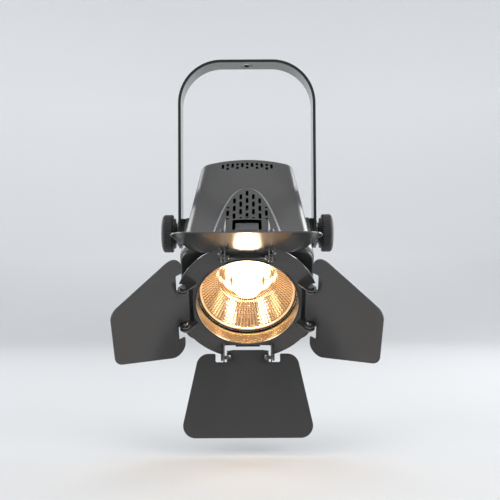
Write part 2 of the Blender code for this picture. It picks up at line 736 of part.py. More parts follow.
def barn_hub(barn):
    """The turned hub that the reflector shines through, with the flange that the clips hold."""
    outer = HUB_R + HUB_WALL
    profile = [
        (HUB_R, HUB_REAR_Y),
        (HUB_R, PLATE_Y - 0.6),
        (outer, PLATE_Y - 0.6),
        (outer, FLANGE_Y - PLATE_THICK),
        (FLANGE_R, FLANGE_Y - PLATE_THICK),
        (FLANGE_R, FLANGE_Y),
        (outer, FLANGE_Y),
        (outer, HUB_REAR_Y),
    ]
    to_object("barn_hub", turned(profile, "Y", steps=40), PAINT, barn)


def barn_plate(barn):
    """The plate pressed over the hub, notched for the leaves, with a bent ear on each notch side."""
    inner = HUB_R + HUB_WALL + GAP
    front = PLATE_Y + PLATE_THICK
    profile = [(inner, PLATE_Y), (PLATE_R, PLATE_Y), (PLATE_R, front), (inner, front)]
    plate = to_object("barn_plate", turned(profile, "Y", steps=40), PAINT, barn)
    for name, turn in LEAF_TURN.items():
        frame = empty(f"place_{name}", barn, turn=Matrix.Rotation(math.radians(-turn), 4, "Y"))
        notch = box((-NOTCH_HALF, -130, NOTCH_FLOOR), (NOTCH_HALF, -120, 75))
        boolean(plate, to_object(f"cut_notch_{name}", notch, None, frame))
        for side in (1, -1):
            low, high = sorted((side * (NOTCH_HALF - 0.1), side * (NOTCH_HALF + PLATE_THICK)))
            outline = [(y, z) for z, y in hinge_ear()]
            ear = to_object(f"join_ear_{name}_{side}", prism(outline, low, high, "YZ"), None, frame)
            boolean(plate, ear, "UNION")
        bore = cylinder(2.2, -30, 30, "X", (0, HINGE_Y, HINGE_R), 16)
        boolean(plate, to_object(f"cut_ear_{name}", bore, None, frame))
        hinge_screws(name, frame)


def hinge_screws(name, frame):
    """Two screws with their nuts, through the plate's ear and the leaf's ear."""
    screw_head = [(0, 15.6), (2.9, 15.6), (2.9, 18.6), (1.9, 18.6)]
    nut = [(1.9, 24.1), (3.2, 24.1), (3.2, 25.2), (2.2, 26.2), (0, 26.2)]
    for side, label in ((1, "a"), (-1, "b")):
        ends = [(r, side * d) for r, d in screw_head + nut]
        screw = turned(ends, "X", (0, HINGE_Y, HINGE_R), 10)
        to_object(f"hinge_screw_{name}_{label}", screw, STEEL, frame)


def leaf_outline(near, far, start, end, tongue_end, relief):
    """The sheet in its own plane: s along the hinge, t outwards, with two reliefs by the ears."""
    corners = [(-near, start), (near, start), (far, end), (-far, end)]
    shape = rounded(corners, LEAF_CORNER_R)
    first_corner, others = shape[:6], shape[6:]
    tongue = LEAF_EAR + LEAF_THICK
    half = [
        (tongue - 6.0, tongue_end),
        (tongue, tongue_end + 1.0),
        (tongue, RELIEF_FLOOR),
        (relief, RELIEF_FLOOR),
        (relief, start),
    ]
    mirrored = [(-s, t) for s, t in reversed(half)]
    return first_corner + mirrored + half + others


def leaf(name, barn):
    """A flat leaf with two ears, in an empty on its hinge axis."""
    *shape, opening = LEAVES[name]
    around = Matrix.Rotation(math.radians(-LEAF_TURN[name]), 4, "Y")
    turn = around @ Matrix.Rotation(math.radians(opening), 4, "X")
    frame = empty(f"hinge_{name}", barn, around @ Vector((0, HINGE_Y, HINGE_R)), turn)
    low, high = SHEET_DROP - LEAF_THICK / 2, SHEET_DROP + LEAF_THICK / 2
    sheet = to_object(f"leaf_{name}", prism(leaf_outline(*shape), low, high), PAINT, frame)
    for side in (1, -1):
        inner, outer = sorted((side * LEAF_EAR, side * (LEAF_EAR + LEAF_THICK)))
        nose = arc((0, 0), 4.6, 180, 360, 8)
        profile = [(y, z) for z, y in nose + [(5.6, SHEET_DROP), (-7.0, SHEET_DROP)]]
        ear = to_object(f"join_leaf_ear_{name}_{side}", prism(profile, inner, outer, "YZ"), None, frame)
        boolean(sheet, ear, "UNION")
    bore = cylinder(2.2, -30, 30, "X", steps=16)
    boolean(sheet, to_object(f"cut_leaf_{name}", bore, None, frame))


def main():
    clear_scene()
    pivot = empty("pivot", at=(0, 0, -PIVOT_DROP))
    head = empty("head", pivot, turn=Matrix.Rotation(math.radians(HEAD_TILT), 4, "X"))
    barn = empty("barn", head)
    yoke()
    knob(1, pivot)
    knob(-1, pivot)
    covers(head)
    latch(head)
    front(head)
    optics(head)
    heatsink(head)
    boards(head)
    rear(head)
    cover_screws(head)
    barn_hub(barn)
    barn_plate(barn)
    for name in LEAVES:
        leaf(name, barn)


main()
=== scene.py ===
"""Looks for the LED stage spotlight: detailed pieces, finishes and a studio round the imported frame.

Lengths are in millimetres and pass through a space: a matrix that takes a part's own millimetres to
the frame's metres. The lamp head is built level, with the beam along -Y, and HEAD tilts it.
"""

import json
import math

import bmesh
import bpy
from mathutils import Matrix, Vector


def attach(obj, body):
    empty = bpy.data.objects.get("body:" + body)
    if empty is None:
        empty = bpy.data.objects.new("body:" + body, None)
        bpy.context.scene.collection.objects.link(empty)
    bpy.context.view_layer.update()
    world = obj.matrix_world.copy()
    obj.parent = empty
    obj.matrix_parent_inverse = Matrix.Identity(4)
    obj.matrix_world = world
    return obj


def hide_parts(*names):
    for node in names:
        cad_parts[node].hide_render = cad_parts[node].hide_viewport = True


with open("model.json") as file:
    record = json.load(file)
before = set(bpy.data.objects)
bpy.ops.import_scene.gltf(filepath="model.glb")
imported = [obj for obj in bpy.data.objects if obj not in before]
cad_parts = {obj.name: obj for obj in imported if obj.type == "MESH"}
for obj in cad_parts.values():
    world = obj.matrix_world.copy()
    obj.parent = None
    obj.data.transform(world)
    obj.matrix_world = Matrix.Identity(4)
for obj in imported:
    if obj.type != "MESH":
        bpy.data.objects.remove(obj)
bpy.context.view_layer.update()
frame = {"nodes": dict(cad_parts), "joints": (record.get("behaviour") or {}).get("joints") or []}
JOINTS = {joint["name"]: joint for joint in frame["joints"]}

# Places that come from the frame
PIVOT = Vector(JOINTS["head_tilt"]["pos_m"])
BEAM = Vector(JOINTS["barn_door_turn"]["axis"])
HEAD_TILT = math.atan2(-BEAM.z, -BEAM.y)
MILLIMETRES = Matrix.Scale(0.001, 4)
PIVOT_SPACE = Matrix.Translation(PIVOT) @ MILLIMETRES
HEAD = Matrix.Translation(PIVOT) @ Matrix.Rotation(HEAD_TILT, 4, "X") @ MILLIMETRES

# Yoke strap
STRAP_WIDTH, STRAP_THICK = 32.0, 3.0
YOKE_INNER = 69.5
YOKE_BEND = 46.0
CLAMP_HOLE_R, STUD_HOLE_R = 6.5, 4.4
PIVOT_DROP = -PIVOT.z * 1000.0

# Knobs
KNOB_R = 20.0
KNOB_RIBS = 60
RIB_DEPTH = 0.5

# Housing
REAR_Y, FRONT_Y, LIP_Y = 76.0, -104.0, -108.0
REAR_HALF_WIDTH, FRONT_HALF_WIDTH = 51.8, 63.0
REAR_TOP, FRONT_TOP = 50.0, 60.0
REAR_BOTTOM, FRONT_BOTTOM = 48.0, 57.0
ARCH_R, BELLY_R = 170.0, 600.0
TOP_CORNER_R, BELLY_CORNER_R = 12.0, 15.0
WALL, END_WALL, END_INSET = 2.5, 1.3, 2.9
SPLIT_Z = -20.0
REAR_EDGE_R, LIP_EDGE = 3.8, 3.0
GAP = 0.3
ARCH_APEX_Y, ARCH_LENGTH, ARCH_HALF, ARCH_POWER = 0.0, 72.0, 28.7, 0.43
ARCH_RISE, ARCH_SLOPE = 1.2, 3.6
# CREASE_LOW and CREASE_HIGH bound the part of the arch's slope that gets a painted highlight.
CREASE_LOW, CREASE_HIGH = 0.12, 0.88

VENT_WIDTH, VENT_LENGTH = 2.8, 11.5
ARCH_VENT_PITCH, ARCH_VENT_STEP, REAR_VENT_STEP = 16.4, 6.3, 5.3
DOT, REAR_SLOT, SHORT_SLOT = VENT_WIDTH * 1.05 / VENT_LENGTH, 0.94, 0.56

# Latch: (y, z) of its pin, the ribs' (y, crest z, foot, crest) and the flap's side view
LATCH_OPENING, OPENING_REAR_Y = 14.0, -70.1
LATCH_HALF, LATCH_RIB_X = 11.0, 20.7
LATCH_PIN = (-92.5, 59.8)
LATCH_RIB = ((-68.0, 58.6, 0.3, 0.2), (-90.0, 63.4, 2.0, 0.8), (-96.0, 61.5, 2.0, 0.8))
RIB_CROWN = ((1, 0), (0.5, 0.25), (-0.5, 0.25), (-1, 0))
FLAP_TOP = ((-74.7, 57.0), (-74.7, 58.2), (LATCH_PIN[0], 61.9), (-117.2, 61.9))
FLAP = (*FLAP_TOP, (-117.2, 54.6), (-116.0, 54.6), (-116.0, 60.7), (LATCH_PIN[0], 60.7))

# Front
BEZEL_Y, BEZEL_INSET = -114.0, 1.4
FLANGE_R, FLANGE_Y = 54.0, -115.6
CLIP_HALF = 12.0
CLIP = ((-113.0, -58.0), (-113.0, -54.6), (-117.4, -54.6), (-117.4, -51.0), (-118.8, -51.0), (-118.8, -58.0))
RIM_Y, RIM_R, FOCAL_4F, THROAT_Y = -107.0, 45.0, 63.0, -79.6
DOME_R, DOME_Y = 16.7, -88.0
COLLAR_TEETH, TOOTH_Y, TOOTH_FOOT_Y = 110, -108.2, -107.2
FACET_SECTORS, FACET_ROWS = 80, 18
FACET_SEAM, FACET_PEAK, FACET_CROWDING = 0.08, 0.025, 0.85

# Barn door
PLATE_Y, PLATE_THICK, PLATE_R = -125.2, 1.2, 67.5
HUB_R, HUB_WALL, HUB_REAR_Y = 48.0, 1.6, -110.0
NOTCH_HALF, NOTCH_FLOOR = 22.5, 51.0
HINGE_R, HINGE_Y = 59.0, -133.9
SHEET_DROP, LEAF_THICK, LEAF_EAR = 5.0, 1.2, 19.3
RELIEF_FLOOR, LEAF_CORNER_R = 4.4, 12.0
UPRIGHT_LEAF = (48.0, 66.0, -3.8, 77.4, -7.4, 31.5)
SIDE_LEAF = (62.0, 29.0, -2.6, 76.3, -9.5, 37.0)
LEAVES = {
    "top": (UPRIGHT_LEAF, 45.5, 0.0),
    "left": (SIDE_LEAF, 40.6, 90.0),
    "bottom": (UPRIGHT_LEAF, 40.7, 180.0),
    "right": (SIDE_LEAF, 40.6, 270.0),
}

# Rear panel
PANEL_Y = 67.0
DISPLAY_Z, BUTTON_Z = 28.0, 14.5
BUTTON_X = (-18.0, -6.0, 6.0, 18.0)
DMX_Z, DMX_X = -5.0, 22.0
POWER_Z, POWER_X = -29.5, 23.0
LOOP_Z, LOOP_Y, LOOP_R, LOOP_BAR_R = 39.9, 72.5, 9.0, 1.6

# Studio, in metres. A fade says where it starts and where it ends: along Y, or up from the floor.
PALE = (0.745, 0.76, 0.777)
FLOOR_Z = -0.402
SWEEP_R, SWEEP_BEND_R, SWEEP_HEIGHT, SWEEP_STEPS = 1.5, 0.8, 2.2, 96
SWEEP_GLOW, AMBIENT = 0.22, 0.30
FRONT_SHADE, FLOOR_SHADE, FLOOR_GLOW = 0.35, 0.80, 0.15
FRONT_FADE, FLOOR_FADE, GLOW_FADE = (-1.7, -0.4), (0.0, 0.8), (0.01, 0.25)
LAMP_AIM = (0.0, 0.0, -0.2)
LAMPS = (
    # name, place, size, power
    ("overhead", (0.0, 0.0, 1.35), (1.6, 1.6), 11.5),
    ("left_box", (-0.96, -0.87, 0.10), (0.95, 0.75), 8.0),
    ("right_box", (0.96, -0.87, 0.10), (0.95, 0.75), 9.0),
    ("left_rim", (-1.3, 0.25, 0.0), (0.6, 0.9), 6.0),
    ("right_rim", (1.3, 0.25, 0.0), (0.6, 0.9), 11.0),
    ("left_back", (-1.0, 1.2, 0.6), (0.5, 0.6), 5.0),
    ("right_back", (1.0, 1.2, 0.6), (0.5, 0.6), 8.5),
)

# Camera: its place, and its turns about Z, X and its own axis in degrees
CAMERA_PLACE, CAMERA_TURNS = (0.0042, -0.923, -0.233), (0.1, 92.0, -0.3)
CAMERA_LENS, CAMERA_SENSOR = 62.4, 36.0

# The LED's dome: colours, powers and its chips' size. A band says where something starts and where it is
# full: along the beam in millimetres, or as a climb in radians (an angle round the beam, up from level).
LED_FRONT, LED_LOBE, LED_SIDE = (1.0, 0.76, 0.48), (1.0, 0.90, 0.84), (1.0, 0.50, 0.20)
LED_POWER, LED_SIDE_POWER, LOBE_POWER, LOWER_BOOST = 75.0, 0.25, 9.0, 5.0
# The second value is the strength of the reflector's painted glow, which stands in for the light that its
# facets scatter.
LED_CHIP, MIRROR_PAINTED_GLOW = 2.6, 0.50
FRONT_BAND, BOOST_BAND = (-93.5, -104.5), (-0.8, -1.4)
HIGH_BASE_BAND, CROWN_BAND, HIGH_BAND = (-85.0, -83.8), (0.35, 0.55), (-0.30, -0.24)
LOW_BASE_BAND, LOW_BAND, LOW_END_BAND = (-90.0, -88.0), (-1.05, -0.98), (-0.36, -0.42)


# Finishes


class Nodes:
    """A short way to build a node tree."""

    def __init__(self, name):
        self.material = bpy.data.materials.new(name)
        self.material.use_nodes = True
        self.tree = self.material.node_tree
        self.shader = self.tree.nodes["Principled BSDF"]
        self.place = self.add("ShaderNodeTexCoord").outputs["Object"]

    def add(self, kind, **settings):
        node = self.tree.nodes.new(kind)
        for name, value in settings.items():
            setattr(node, name, value)
        return node

    def link(self, output, socket):
        self.tree.links.new(output, socket)

    def set(self, **values):
        for name, value in values.items():
            self.shader.inputs[name.replace("_", " ")].default_value = value

    def feed(self, name, output):
        """Links an output to the shader's own socket."""
        self.link(output, self.shader.inputs[name])

    def noise(self, size_mm, detail=2.0, roughness=0.5):
        """A noise whose blotches are about size_mm across."""
        node = self.add("ShaderNodeTexNoise")
        self.link(self.place, node.inputs["Vector"])
        node.inputs["Scale"].default_value = 1000.0 / size_mm
        node.inputs["Detail"].default_value = detail
        node.inputs["Roughness"].default_value = roughness
        return node.outputs["Fac"]

    def spread(self, value, low, high, start=0.3, end=0.7):
        """Maps a value's middle range to low and high."""
        node = self.add("ShaderNodeMapRange")
        self.link(value, node.inputs["Value"])
        for name, number in (("From Min", start), ("From Max", end), ("To Min", low), ("To Max", high)):
            node.inputs[name].default_value = number
        return node.outputs["Result"]

    def blend(self, share, first, second):
        """Mixes two colours, each a tuple or an output."""
        node = self.add("ShaderNodeMix", data_type="RGBA")
        self.link(share, node.inputs[0])
        for socket, colour in ((node.inputs[6], first), (node.inputs[7], second)):
            if isinstance(colour, tuple):
                socket.default_value = (*colour[:3], 1.0)
            else:
                self.link(colour, socket)
        return node.outputs[2]

    def maths(self, operation, first, second):
        node = self.add("ShaderNodeMath", operation=operation)
        for socket, value in zip(node.inputs, (first, second)):
            if isinstance(value, (int, float)):
                socket.default_value = value
            else:
                self.link(value, socket)
        return node.outputs[0]

    def bump(self, height, depth_mm, normal=None):
        node = self.add("ShaderNodeBump")
        node.inputs["Distance"].default_value = depth_mm * 0.001
        self.link(height, node.inputs["Height"])
        if normal:
            self.link(normal, node.inputs["Normal"])
        return node.outputs["Normal"]

    def edges(self, start=0.52, end=0.62):
        """From 0 on flat stretches to 1 along convex edges."""
        geometry = self.add("ShaderNodeNewGeometry")
        return self.spread(geometry.outputs["Pointiness"], 0.0, 1.0, start, end)


def shade(colour, factor):
    return tuple(min(1.0, channel * factor) for channel in colour)


def finish(
    name, colour, roughness, metallic=0.0, grain=0.7, depth=0.012, mottle=0.05, uneven=0.04, worn=None, **more
):
    """A painted, moulded or metal surface: blotches, uneven gloss, fine grain and perhaps worn edges."""
    nodes = Nodes(name)
    nodes.set(Metallic=metallic, **more)
    broad = nodes.noise(28.0, 4.0)
    fine = nodes.noise(grain, 3.0, 0.6)
    tone = nodes.blend(nodes.spread(broad, 0, 1), shade(colour, 1 - mottle), shade(colour, 1 + mottle))
    if worn:
        scuffs = nodes.spread(nodes.noise(5.0, 5.0), 0, 1, 0.45, 0.75)
        tone = nodes.blend(nodes.maths("MULTIPLY", nodes.edges(), scuffs), tone, worn)
    patches = nodes.spread(broad, roughness - 0.015, roughness + 0.015)
    nodes.feed("Base Color", tone)
    nodes.feed("Roughness", nodes.maths("ADD", patches, nodes.spread(fine, -uneven, uneven)))
    nodes.feed("Normal", nodes.bump(fine, depth))
    return nodes.material


def brushed(name, colour, roughness, direction=(1.0, 1.0, 14.0)):
    """Bare metal with fine lines along one axis."""
    nodes = Nodes(name)
    nodes.set(Metallic=1.0)
    stretch = nodes.add("ShaderNodeMapping")
    stretch.inputs["Scale"].default_value = direction
    nodes.link(nodes.place, stretch.inputs["Vector"])
    nodes.place = stretch.outputs["Vector"]
    lines = nodes.noise(6.0, 4.0, 0.7)
    nodes.feed("Base Color", nodes.blend(lines, shade(colour, 0.75), colour))
    nodes.feed("Roughness", nodes.spread(lines, roughness - 0.08, roughness + 0.1))
    nodes.feed("Normal", nodes.bump(lines, 0.02))
    return nodes.material


def mirror_finish():
    """The plated reflector: a gold cast that stands in for the LED's amber light, a thin haze, and a painted
    glow in place of the light that its facets scatter.
    """
    nodes = Nodes("mirror")
    nodes.set(Metallic=1.0)
    haze = nodes.noise(9.0, 3.0)
    # The gold tint is painted light: it stands in for the LED's amber light on the mirror.
    nodes.feed("Base Color", nodes.blend(haze, (0.94, 0.66, 0.43), (0.97, 0.73, 0.50)))
    nodes.feed("Roughness", nodes.spread(haze, 0.05, 0.10))
    # Painted glow: the reflector emits, though it is no lamp, in place of the LED light that its facets
    # scatter.
    nodes.feed("Emission Color", nodes.blend(haze, (1.0, 0.58, 0.25), (1.0, 0.64, 0.32)))
    nodes.set(Emission_Strength=MIRROR_PAINTED_GLOW)
    nodes.feed("Normal", nodes.bump(nodes.noise(1.2, 1.0), 0.004))
    return nodes.material


def glow_finish():
    """The lit dome, over small chips: white hot in front, most of all low down, with amber sides.

    Each side has two brighter lobes: a high one on its base and crown, and a low one on its base.
    """
    nodes = Nodes("led")
    level = nodes.add("ShaderNodeMapping")
    turn = Matrix.Rotation(-HEAD_TILT, 4, "X")
    level.inputs["Rotation"].default_value = turn.to_euler()
    level.inputs["Location"].default_value = -(turn @ PIVOT)
    nodes.link(nodes.place, level.inputs["Vector"])
    split = nodes.add("ShaderNodeSeparateXYZ")
    nodes.link(level.outputs["Vector"], split.inputs[0])
    sideways, along, up = (split.outputs[axis] for axis in "XYZ")
    climb = nodes.maths("ARCTAN2", up, nodes.maths("ABSOLUTE", sideways, 0.0))

    def within(value, band, unit=1.0):
        return nodes.spread(value, 0.0, 1.0, band[0] * unit, band[1] * unit)

    def both(first, second):
        return nodes.maths("MULTIPLY", first, second)

    front = within(along, FRONT_BAND, 0.001)
    high = nodes.maths("MAXIMUM", within(along, HIGH_BASE_BAND, 0.001), within(climb, CROWN_BAND))
    high = both(high, within(climb, HIGH_BAND))
    low = both(within(climb, LOW_BAND), within(climb, LOW_END_BAND))
    low = both(low, within(along, LOW_BASE_BAND, 0.001))
    lobes = nodes.maths("MAXIMUM", high, low)
    nodes.feed("Emission Color", nodes.blend(front, nodes.blend(lobes, LED_SIDE, LED_LOBE), LED_FRONT))

    chips = nodes.add("ShaderNodeTexVoronoi")
    nodes.link(nodes.place, chips.inputs["Vector"])
    chips.inputs["Scale"].default_value = 1000.0 / LED_CHIP
    spots = nodes.spread(chips.outputs["Distance"], 1.0, 0.7, 0.0, 0.7)
    side = nodes.spread(lobes, LED_SIDE_POWER, LOBE_POWER, 0.0, 1.0)
    ahead = both(both(front, front), nodes.spread(climb, 1.0, LOWER_BOOST, *BOOST_BAND))
    nodes.feed("Emission Strength", both(spots, nodes.maths("ADD", side, both(ahead, LED_POWER))))
    nodes.set(Base_Color=(0.25, 0.2, 0.13, 1.0), Roughness=0.3)
    return nodes.material


def board_finish():
    """Green solder mask over faint copper tracks."""
    nodes = Nodes("circuit_board")
    tracks = nodes.add("ShaderNodeTexBrick")
    nodes.link(nodes.place, tracks.inputs["Vector"])
    tracks.inputs["Scale"].default_value = 160.0
    tracks.inputs["Color1"].default_value = (0.012, 0.09, 0.035, 1.0)
    tracks.inputs["Color2"].default_value = (0.016, 0.12, 0.045, 1.0)
    tracks.inputs["Mortar"].default_value = (0.03, 0.2, 0.07, 1.0)
    nodes.feed("Base Color", tracks.outputs["Color"])
    nodes.feed("Roughness", nodes.spread(nodes.noise(3.0), 0.3, 0.5))
    nodes.feed("Normal", nodes.bump(tracks.outputs["Fac"], 0.05))
    return nodes.material


WORN = (0.14, 0.14, 0.145)
PAINT = finish("black_paint", (0.058, 0.0582, 0.059), 0.34, grain=0.9, worn=WORN)
SHEET = finish("black_sheet", (0.046, 0.0462, 0.047), 0.17, 0.0, 0.6, 0.002, mottle=0.01, uneven=0.012)
# A lighter, part metallic finish on the sheets' edges: a painted highlight along them.
EDGE_PAINTED_HIGHLIGHT = finish("sheet_edge_painted_highlight", (0.16, 0.16, 0.165), 0.2, 0.6, grain=0.5, depth=0.01, mottle=0.25)
# The yoke's paint is lighter than the housing's, painted light; its narrow edges get a near black finish,
# painted shade.
STRAP = finish("yoke_paint_with_painted_light", (0.11, 0.1102, 0.111), 0.11, grain=0.9, depth=0.005, worn=WORN)
STRAP_EDGE_PAINTED_SHADE = finish("yoke_edge_painted_shade", (0.016, 0.0161, 0.0163), 0.42, 0.0, 0.9, 0.01, Specular_IOR_Level=0.35)
# A lighter paint on the arch's crease slope: a painted highlight.
CREASE_PAINTED_HIGHLIGHT = finish("crease_painted_highlight", (0.23, 0.23, 0.232), 0.32, grain=0.9, depth=0.008)
# A light grey metal on the cover's latch ribs, which are black paint: a painted highlight.
LUG_PAINTED_HIGHLIGHT = finish("lug_painted_highlight", (0.30, 0.30, 0.31), 0.3, 0.9, grain=0.5, depth=0.02, mottle=0.2)
PLASTIC = finish("black_plastic", (0.022, 0.022, 0.0225), 0.38, 0.0, 0.5, 0.015, worn=(0.06, 0.06, 0.06))
TRIM = finish("bezel_plastic", (0.010, 0.010, 0.0103), 0.42, 0.0, 0.5, 0.01, Specular_IOR_Level=0.28)
RUBBER = finish("rubber", (0.014, 0.014, 0.014), 0.75, grain=1.2, depth=0.05)
STEEL = brushed("steel", (0.58, 0.58, 0.6), 0.3)
DARK_STEEL = finish("dark_steel", (0.10, 0.10, 0.105), 0.34, 1.0, 0.8, 0.02, worn=(0.4, 0.4, 0.4))
ALUMINIUM = brushed("aluminium", (0.74, 0.74, 0.76), 0.36)
BRASS = finish("brass_pins", (0.72, 0.52, 0.24), 0.28, 1.0, grain=0.6, depth=0.01)
MIRROR = mirror_finish()
SEAM = finish("reflector_seams", (0.30, 0.16, 0.07), 0.4, 1.0, grain=0.5, depth=0.004)
BOWL_BACK = finish("bowl_back", (0.05, 0.05, 0.052), 0.5, 0.6)
# The hub's inside is the same black sheet, but gets a pale gold metal here: painted LED light.
HUB_INSIDE_PAINTED_LIGHT = finish("hub_inside_painted_light", (0.50, 0.43, 0.31), 0.16, 0.9, grain=0.6, depth=0.004, mottle=0.03)
GLOW = glow_finish()
BOARD = board_finish()
WINDOW = finish("display_window", (0.010, 0.006, 0.007), 0.10, grain=2.0, depth=0.003, mottle=0.3)
SEGMENTS = finish("display_segments", (0.055, 0.02, 0.02), 0.25, grain=1.0, depth=0.004)
# Near black with no gloss, on the walls of the vents and the latch opening: painted shade.
VENT_PAINTED_SHADE = finish("vent_wall_painted_shade", (0.0015, 0.0015, 0.0015), 0.9, 0.0, 0.6, 0.02, Specular_IOR_Level=0.0)


# Solids. Each returns a bmesh in millimetres.


def arc(centre, radius, start, end, steps):
    """Points on a circle, from start to end degrees."""
    angles = [math.radians(start + (end - start) * i / steps) for i in range(steps + 1)]
    return [(centre[0] + radius * math.cos(a), centre[1] + radius * math.sin(a)) for a in angles]


def rounded(corners, radius, steps=8):
    """The outline of a convex polygon, given anticlockwise, with its corners rounded."""
    points = []
    for i, corner in enumerate(corners):
        here = Vector(corner)
        back = (Vector(corners[i - 1]) - here).normalized()
        ahead = (Vector(corners[(i + 1) % len(corners)]) - here).normalized()
        half = back.angle(ahead) / 2
        centre = here + (back + ahead).normalized() * radius / math.sin(half)
        first = here + back * radius / math.tan(half) - centre
        last = here + ahead * radius / math.tan(half) - centre
        start = math.degrees(math.atan2(first.y, first.x))
        points += arc(centre, radius, start, start - math.degrees(first.angle_signed(last)), steps)
    return points


def rectangle(x, z, half_width, half_height):
    left, right = x - half_width, x + half_width
    low, high = z - half_height, z + half_height
    return [(left, low), (right, low), (right, high), (left, high)]


def obround(x, y, width, length, steps=8):
    r = width / 2
    straight = max(length / 2 - r, 0.0)
    return arc((x, y + straight), r, 0, 180, steps) + arc((x, y - straight), r, 180, 360, steps)


PLANES = {
    "XZ": lambda a, b, along: (a, along, b),
    "XY": lambda a, b, along: (a, b, along),
    "YZ": lambda a, b, along: (along, a, b),
}


def prism(outline, low, high, plane="XZ"):
    """Extrudes a closed outline from low to high, square to its plane."""
    made = bmesh.new()
    place = PLANES[plane]
    base = [made.verts.new(place(a, b, low)) for a, b in outline]
    top = [made.verts.new(place(a, b, high)) for a, b in outline]
    made.faces.new(base)
    made.faces.new(top[::-1])
    for i in range(len(base)):
        j = (i + 1) % len(base)
        made.faces.new((base[j], base[i], top[i], top[j]))
    return made


def block(low, high):
    outline = [(low[0], low[2]), (high[0], low[2]), (high[0], high[2]), (low[0], high[2])]
    return prism(outline, low[1], high[1])


def lathe(profile, axis="Y", centre=(0, 0, 0), steps=96, wave=None):
    """Spins a closed profile of (radius, distance) points, which wave may change at each angle."""
    made = bmesh.new()
    rows = []
    for i in range(steps):
        angle = math.tau * i / steps
        row = []
        for radius, along in profile:
            r, along = wave(radius, along, angle) if wave else (radius, along)
            a, b = r * math.cos(angle), r * math.sin(angle)
            spot = {"X": (along, a, b), "Y": (a, along, b), "Z": (a, b, along)}[axis]
            row.append(made.verts.new(Vector(spot) + Vector(centre)))
        rows.append(row)
    for i, row in enumerate(rows):
        after = rows[(i + 1) % steps]
        for j in range(len(row)):
            k = (j + 1) % len(row)
            made.faces.new((row[j], row[k], after[k], after[j]))
    bmesh.ops.remove_doubles(made, verts=made.verts, dist=0.0005)
    bmesh.ops.dissolve_degenerate(made, edges=made.edges, dist=0.0005)
    loose = [edge for edge in made.edges if not edge.link_faces]
    bmesh.ops.delete(made, geom=loose, context="EDGES")
    return made


def rod(radius, low, high, axis="Y", centre=(0, 0, 0), steps=96):
    """A plain round cutter."""
    return lathe([(0, low), (radius, low), (radius, high), (0, high)], axis, centre, steps)


def cross_recess(low, high, lengthwise, along="X", centre=(0, 0, 0)):
    """Both arms of a cross recess: cutters from low to high along an axis."""
    arms = []
    for a, b in (lengthwise, lengthwise[::-1]):
        if along == "X":
            arms.append(block((low, centre[1] - a, centre[2] - b), (high, centre[1] + a, centre[2] + b)))
        else:
            arms.append(block((centre[0] - a, centre[1] - b, low), (centre[0] + a, centre[1] + b, high)))
    return arms


def loft(rings):
    """Bridges closed rings of equal length and caps both ends."""
    made = bmesh.new()
    rows = [[made.verts.new(point) for point in ring] for ring in rings]
    for near, far in zip(rows, rows[1:]):
        for i in range(len(near)):
            j = (i + 1) % len(near)
            made.faces.new((near[i], near[j], far[j], far[i]))
    for ring in (rows[0][::-1], rows[-1]):
        made.faces.new(ring)
    return made


def joined(*solids):
    """One bmesh holding several solids."""
    made = bmesh.new()
    for one in solids:
        mesh = bpy.data.meshes.new("solid")
        one.to_mesh(mesh)
        one.free()
        made.from_mesh(mesh)
        bpy.data.meshes.remove(mesh)
    return made


def edged(made, across):
    """Gives a sheet's edges, which face along it and not across it, the second material."""
    made.normal_update()
    for face in made.faces:
        face.material_index = 1 if abs(face.normal[across]) < 0.5 else 0
    return made


def moved(made, matrix):
    bmesh.ops.transform(made, matrix=matrix, verts=made.verts)
    return made


def combined(base, tools, operation="DIFFERENCE", slot=0):
    """Cuts the base with solids that don't touch, or joins them to it, in a material slot."""
    tools = joined(*tools)
    for face in tools.faces:
        face.material_index = slot
    pair = []
    for made in (base, tools):
        bmesh.ops.recalc_face_normals(made, faces=made.faces)
        mesh = bpy.data.meshes.new("temporary")
        made.to_mesh(mesh)
        made.free()
        mesh.materials.append(PAINT)
        mesh.materials.append(VENT_PAINTED_SHADE)
        obj = bpy.data.objects.new("temporary", mesh)
        bpy.context.scene.collection.objects.link(obj)
        pair.append(obj)
    target, tool = pair
    modifier = target.modifiers.new("cut", "BOOLEAN")
    modifier.operation = operation
    modifier.object = tool
    modifier.solver = "EXACT"
    graph = bpy.context.evaluated_depsgraph_get()
    mesh = bpy.data.meshes.new_from_object(target.evaluated_get(graph))
    made = bmesh.new()
    made.from_mesh(mesh)
    bpy.data.meshes.remove(mesh)
    for obj in pair:
        bpy.data.meshes.remove(obj.data)
    return made


def piece(name, made, space, look, body, replaces=(), edge=0.0, smooth=35.0, others=()):
    """Makes a piece from a bmesh in a space's millimetres, rounds its edges and hangs it on a body."""
    moved(made, space)
    bmesh.ops.recalc_face_normals(made, faces=made.faces)
    mesh = bpy.data.meshes.new(name)
    made.to_mesh(mesh)
    made.free()
    for material in (look, *others):
        mesh.materials.append(material)
    mesh.shade_smooth()
    mesh.set_sharp_from_angle(angle=math.radians(smooth))
    obj = bpy.data.objects.new(name, mesh)
    bpy.context.scene.collection.objects.link(obj)
    if edge:
        soften = obj.modifiers.new("soften", "BEVEL")
        soften.width = edge * 0.001
        soften.segments = 2
        soften.limit_method = "ANGLE"
        soften.angle_limit = math.radians(32.0)
        soften.harden_normals = True
    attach(obj, body)
    if replaces:
        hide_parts(*replaces)
    return obj


# Housing


def housing_size(y):
    """Half width, top and bottom of the housing at y."""
    share = (REAR_Y - y) / (REAR_Y - FRONT_Y)
    return (
        REAR_HALF_WIDTH + (FRONT_HALF_WIDTH - REAR_HALF_WIDTH) * share,
        REAR_TOP + (FRONT_TOP - REAR_TOP) * share,
        REAR_BOTTOM + (FRONT_BOTTOM - REAR_BOTTOM) * share,
    )


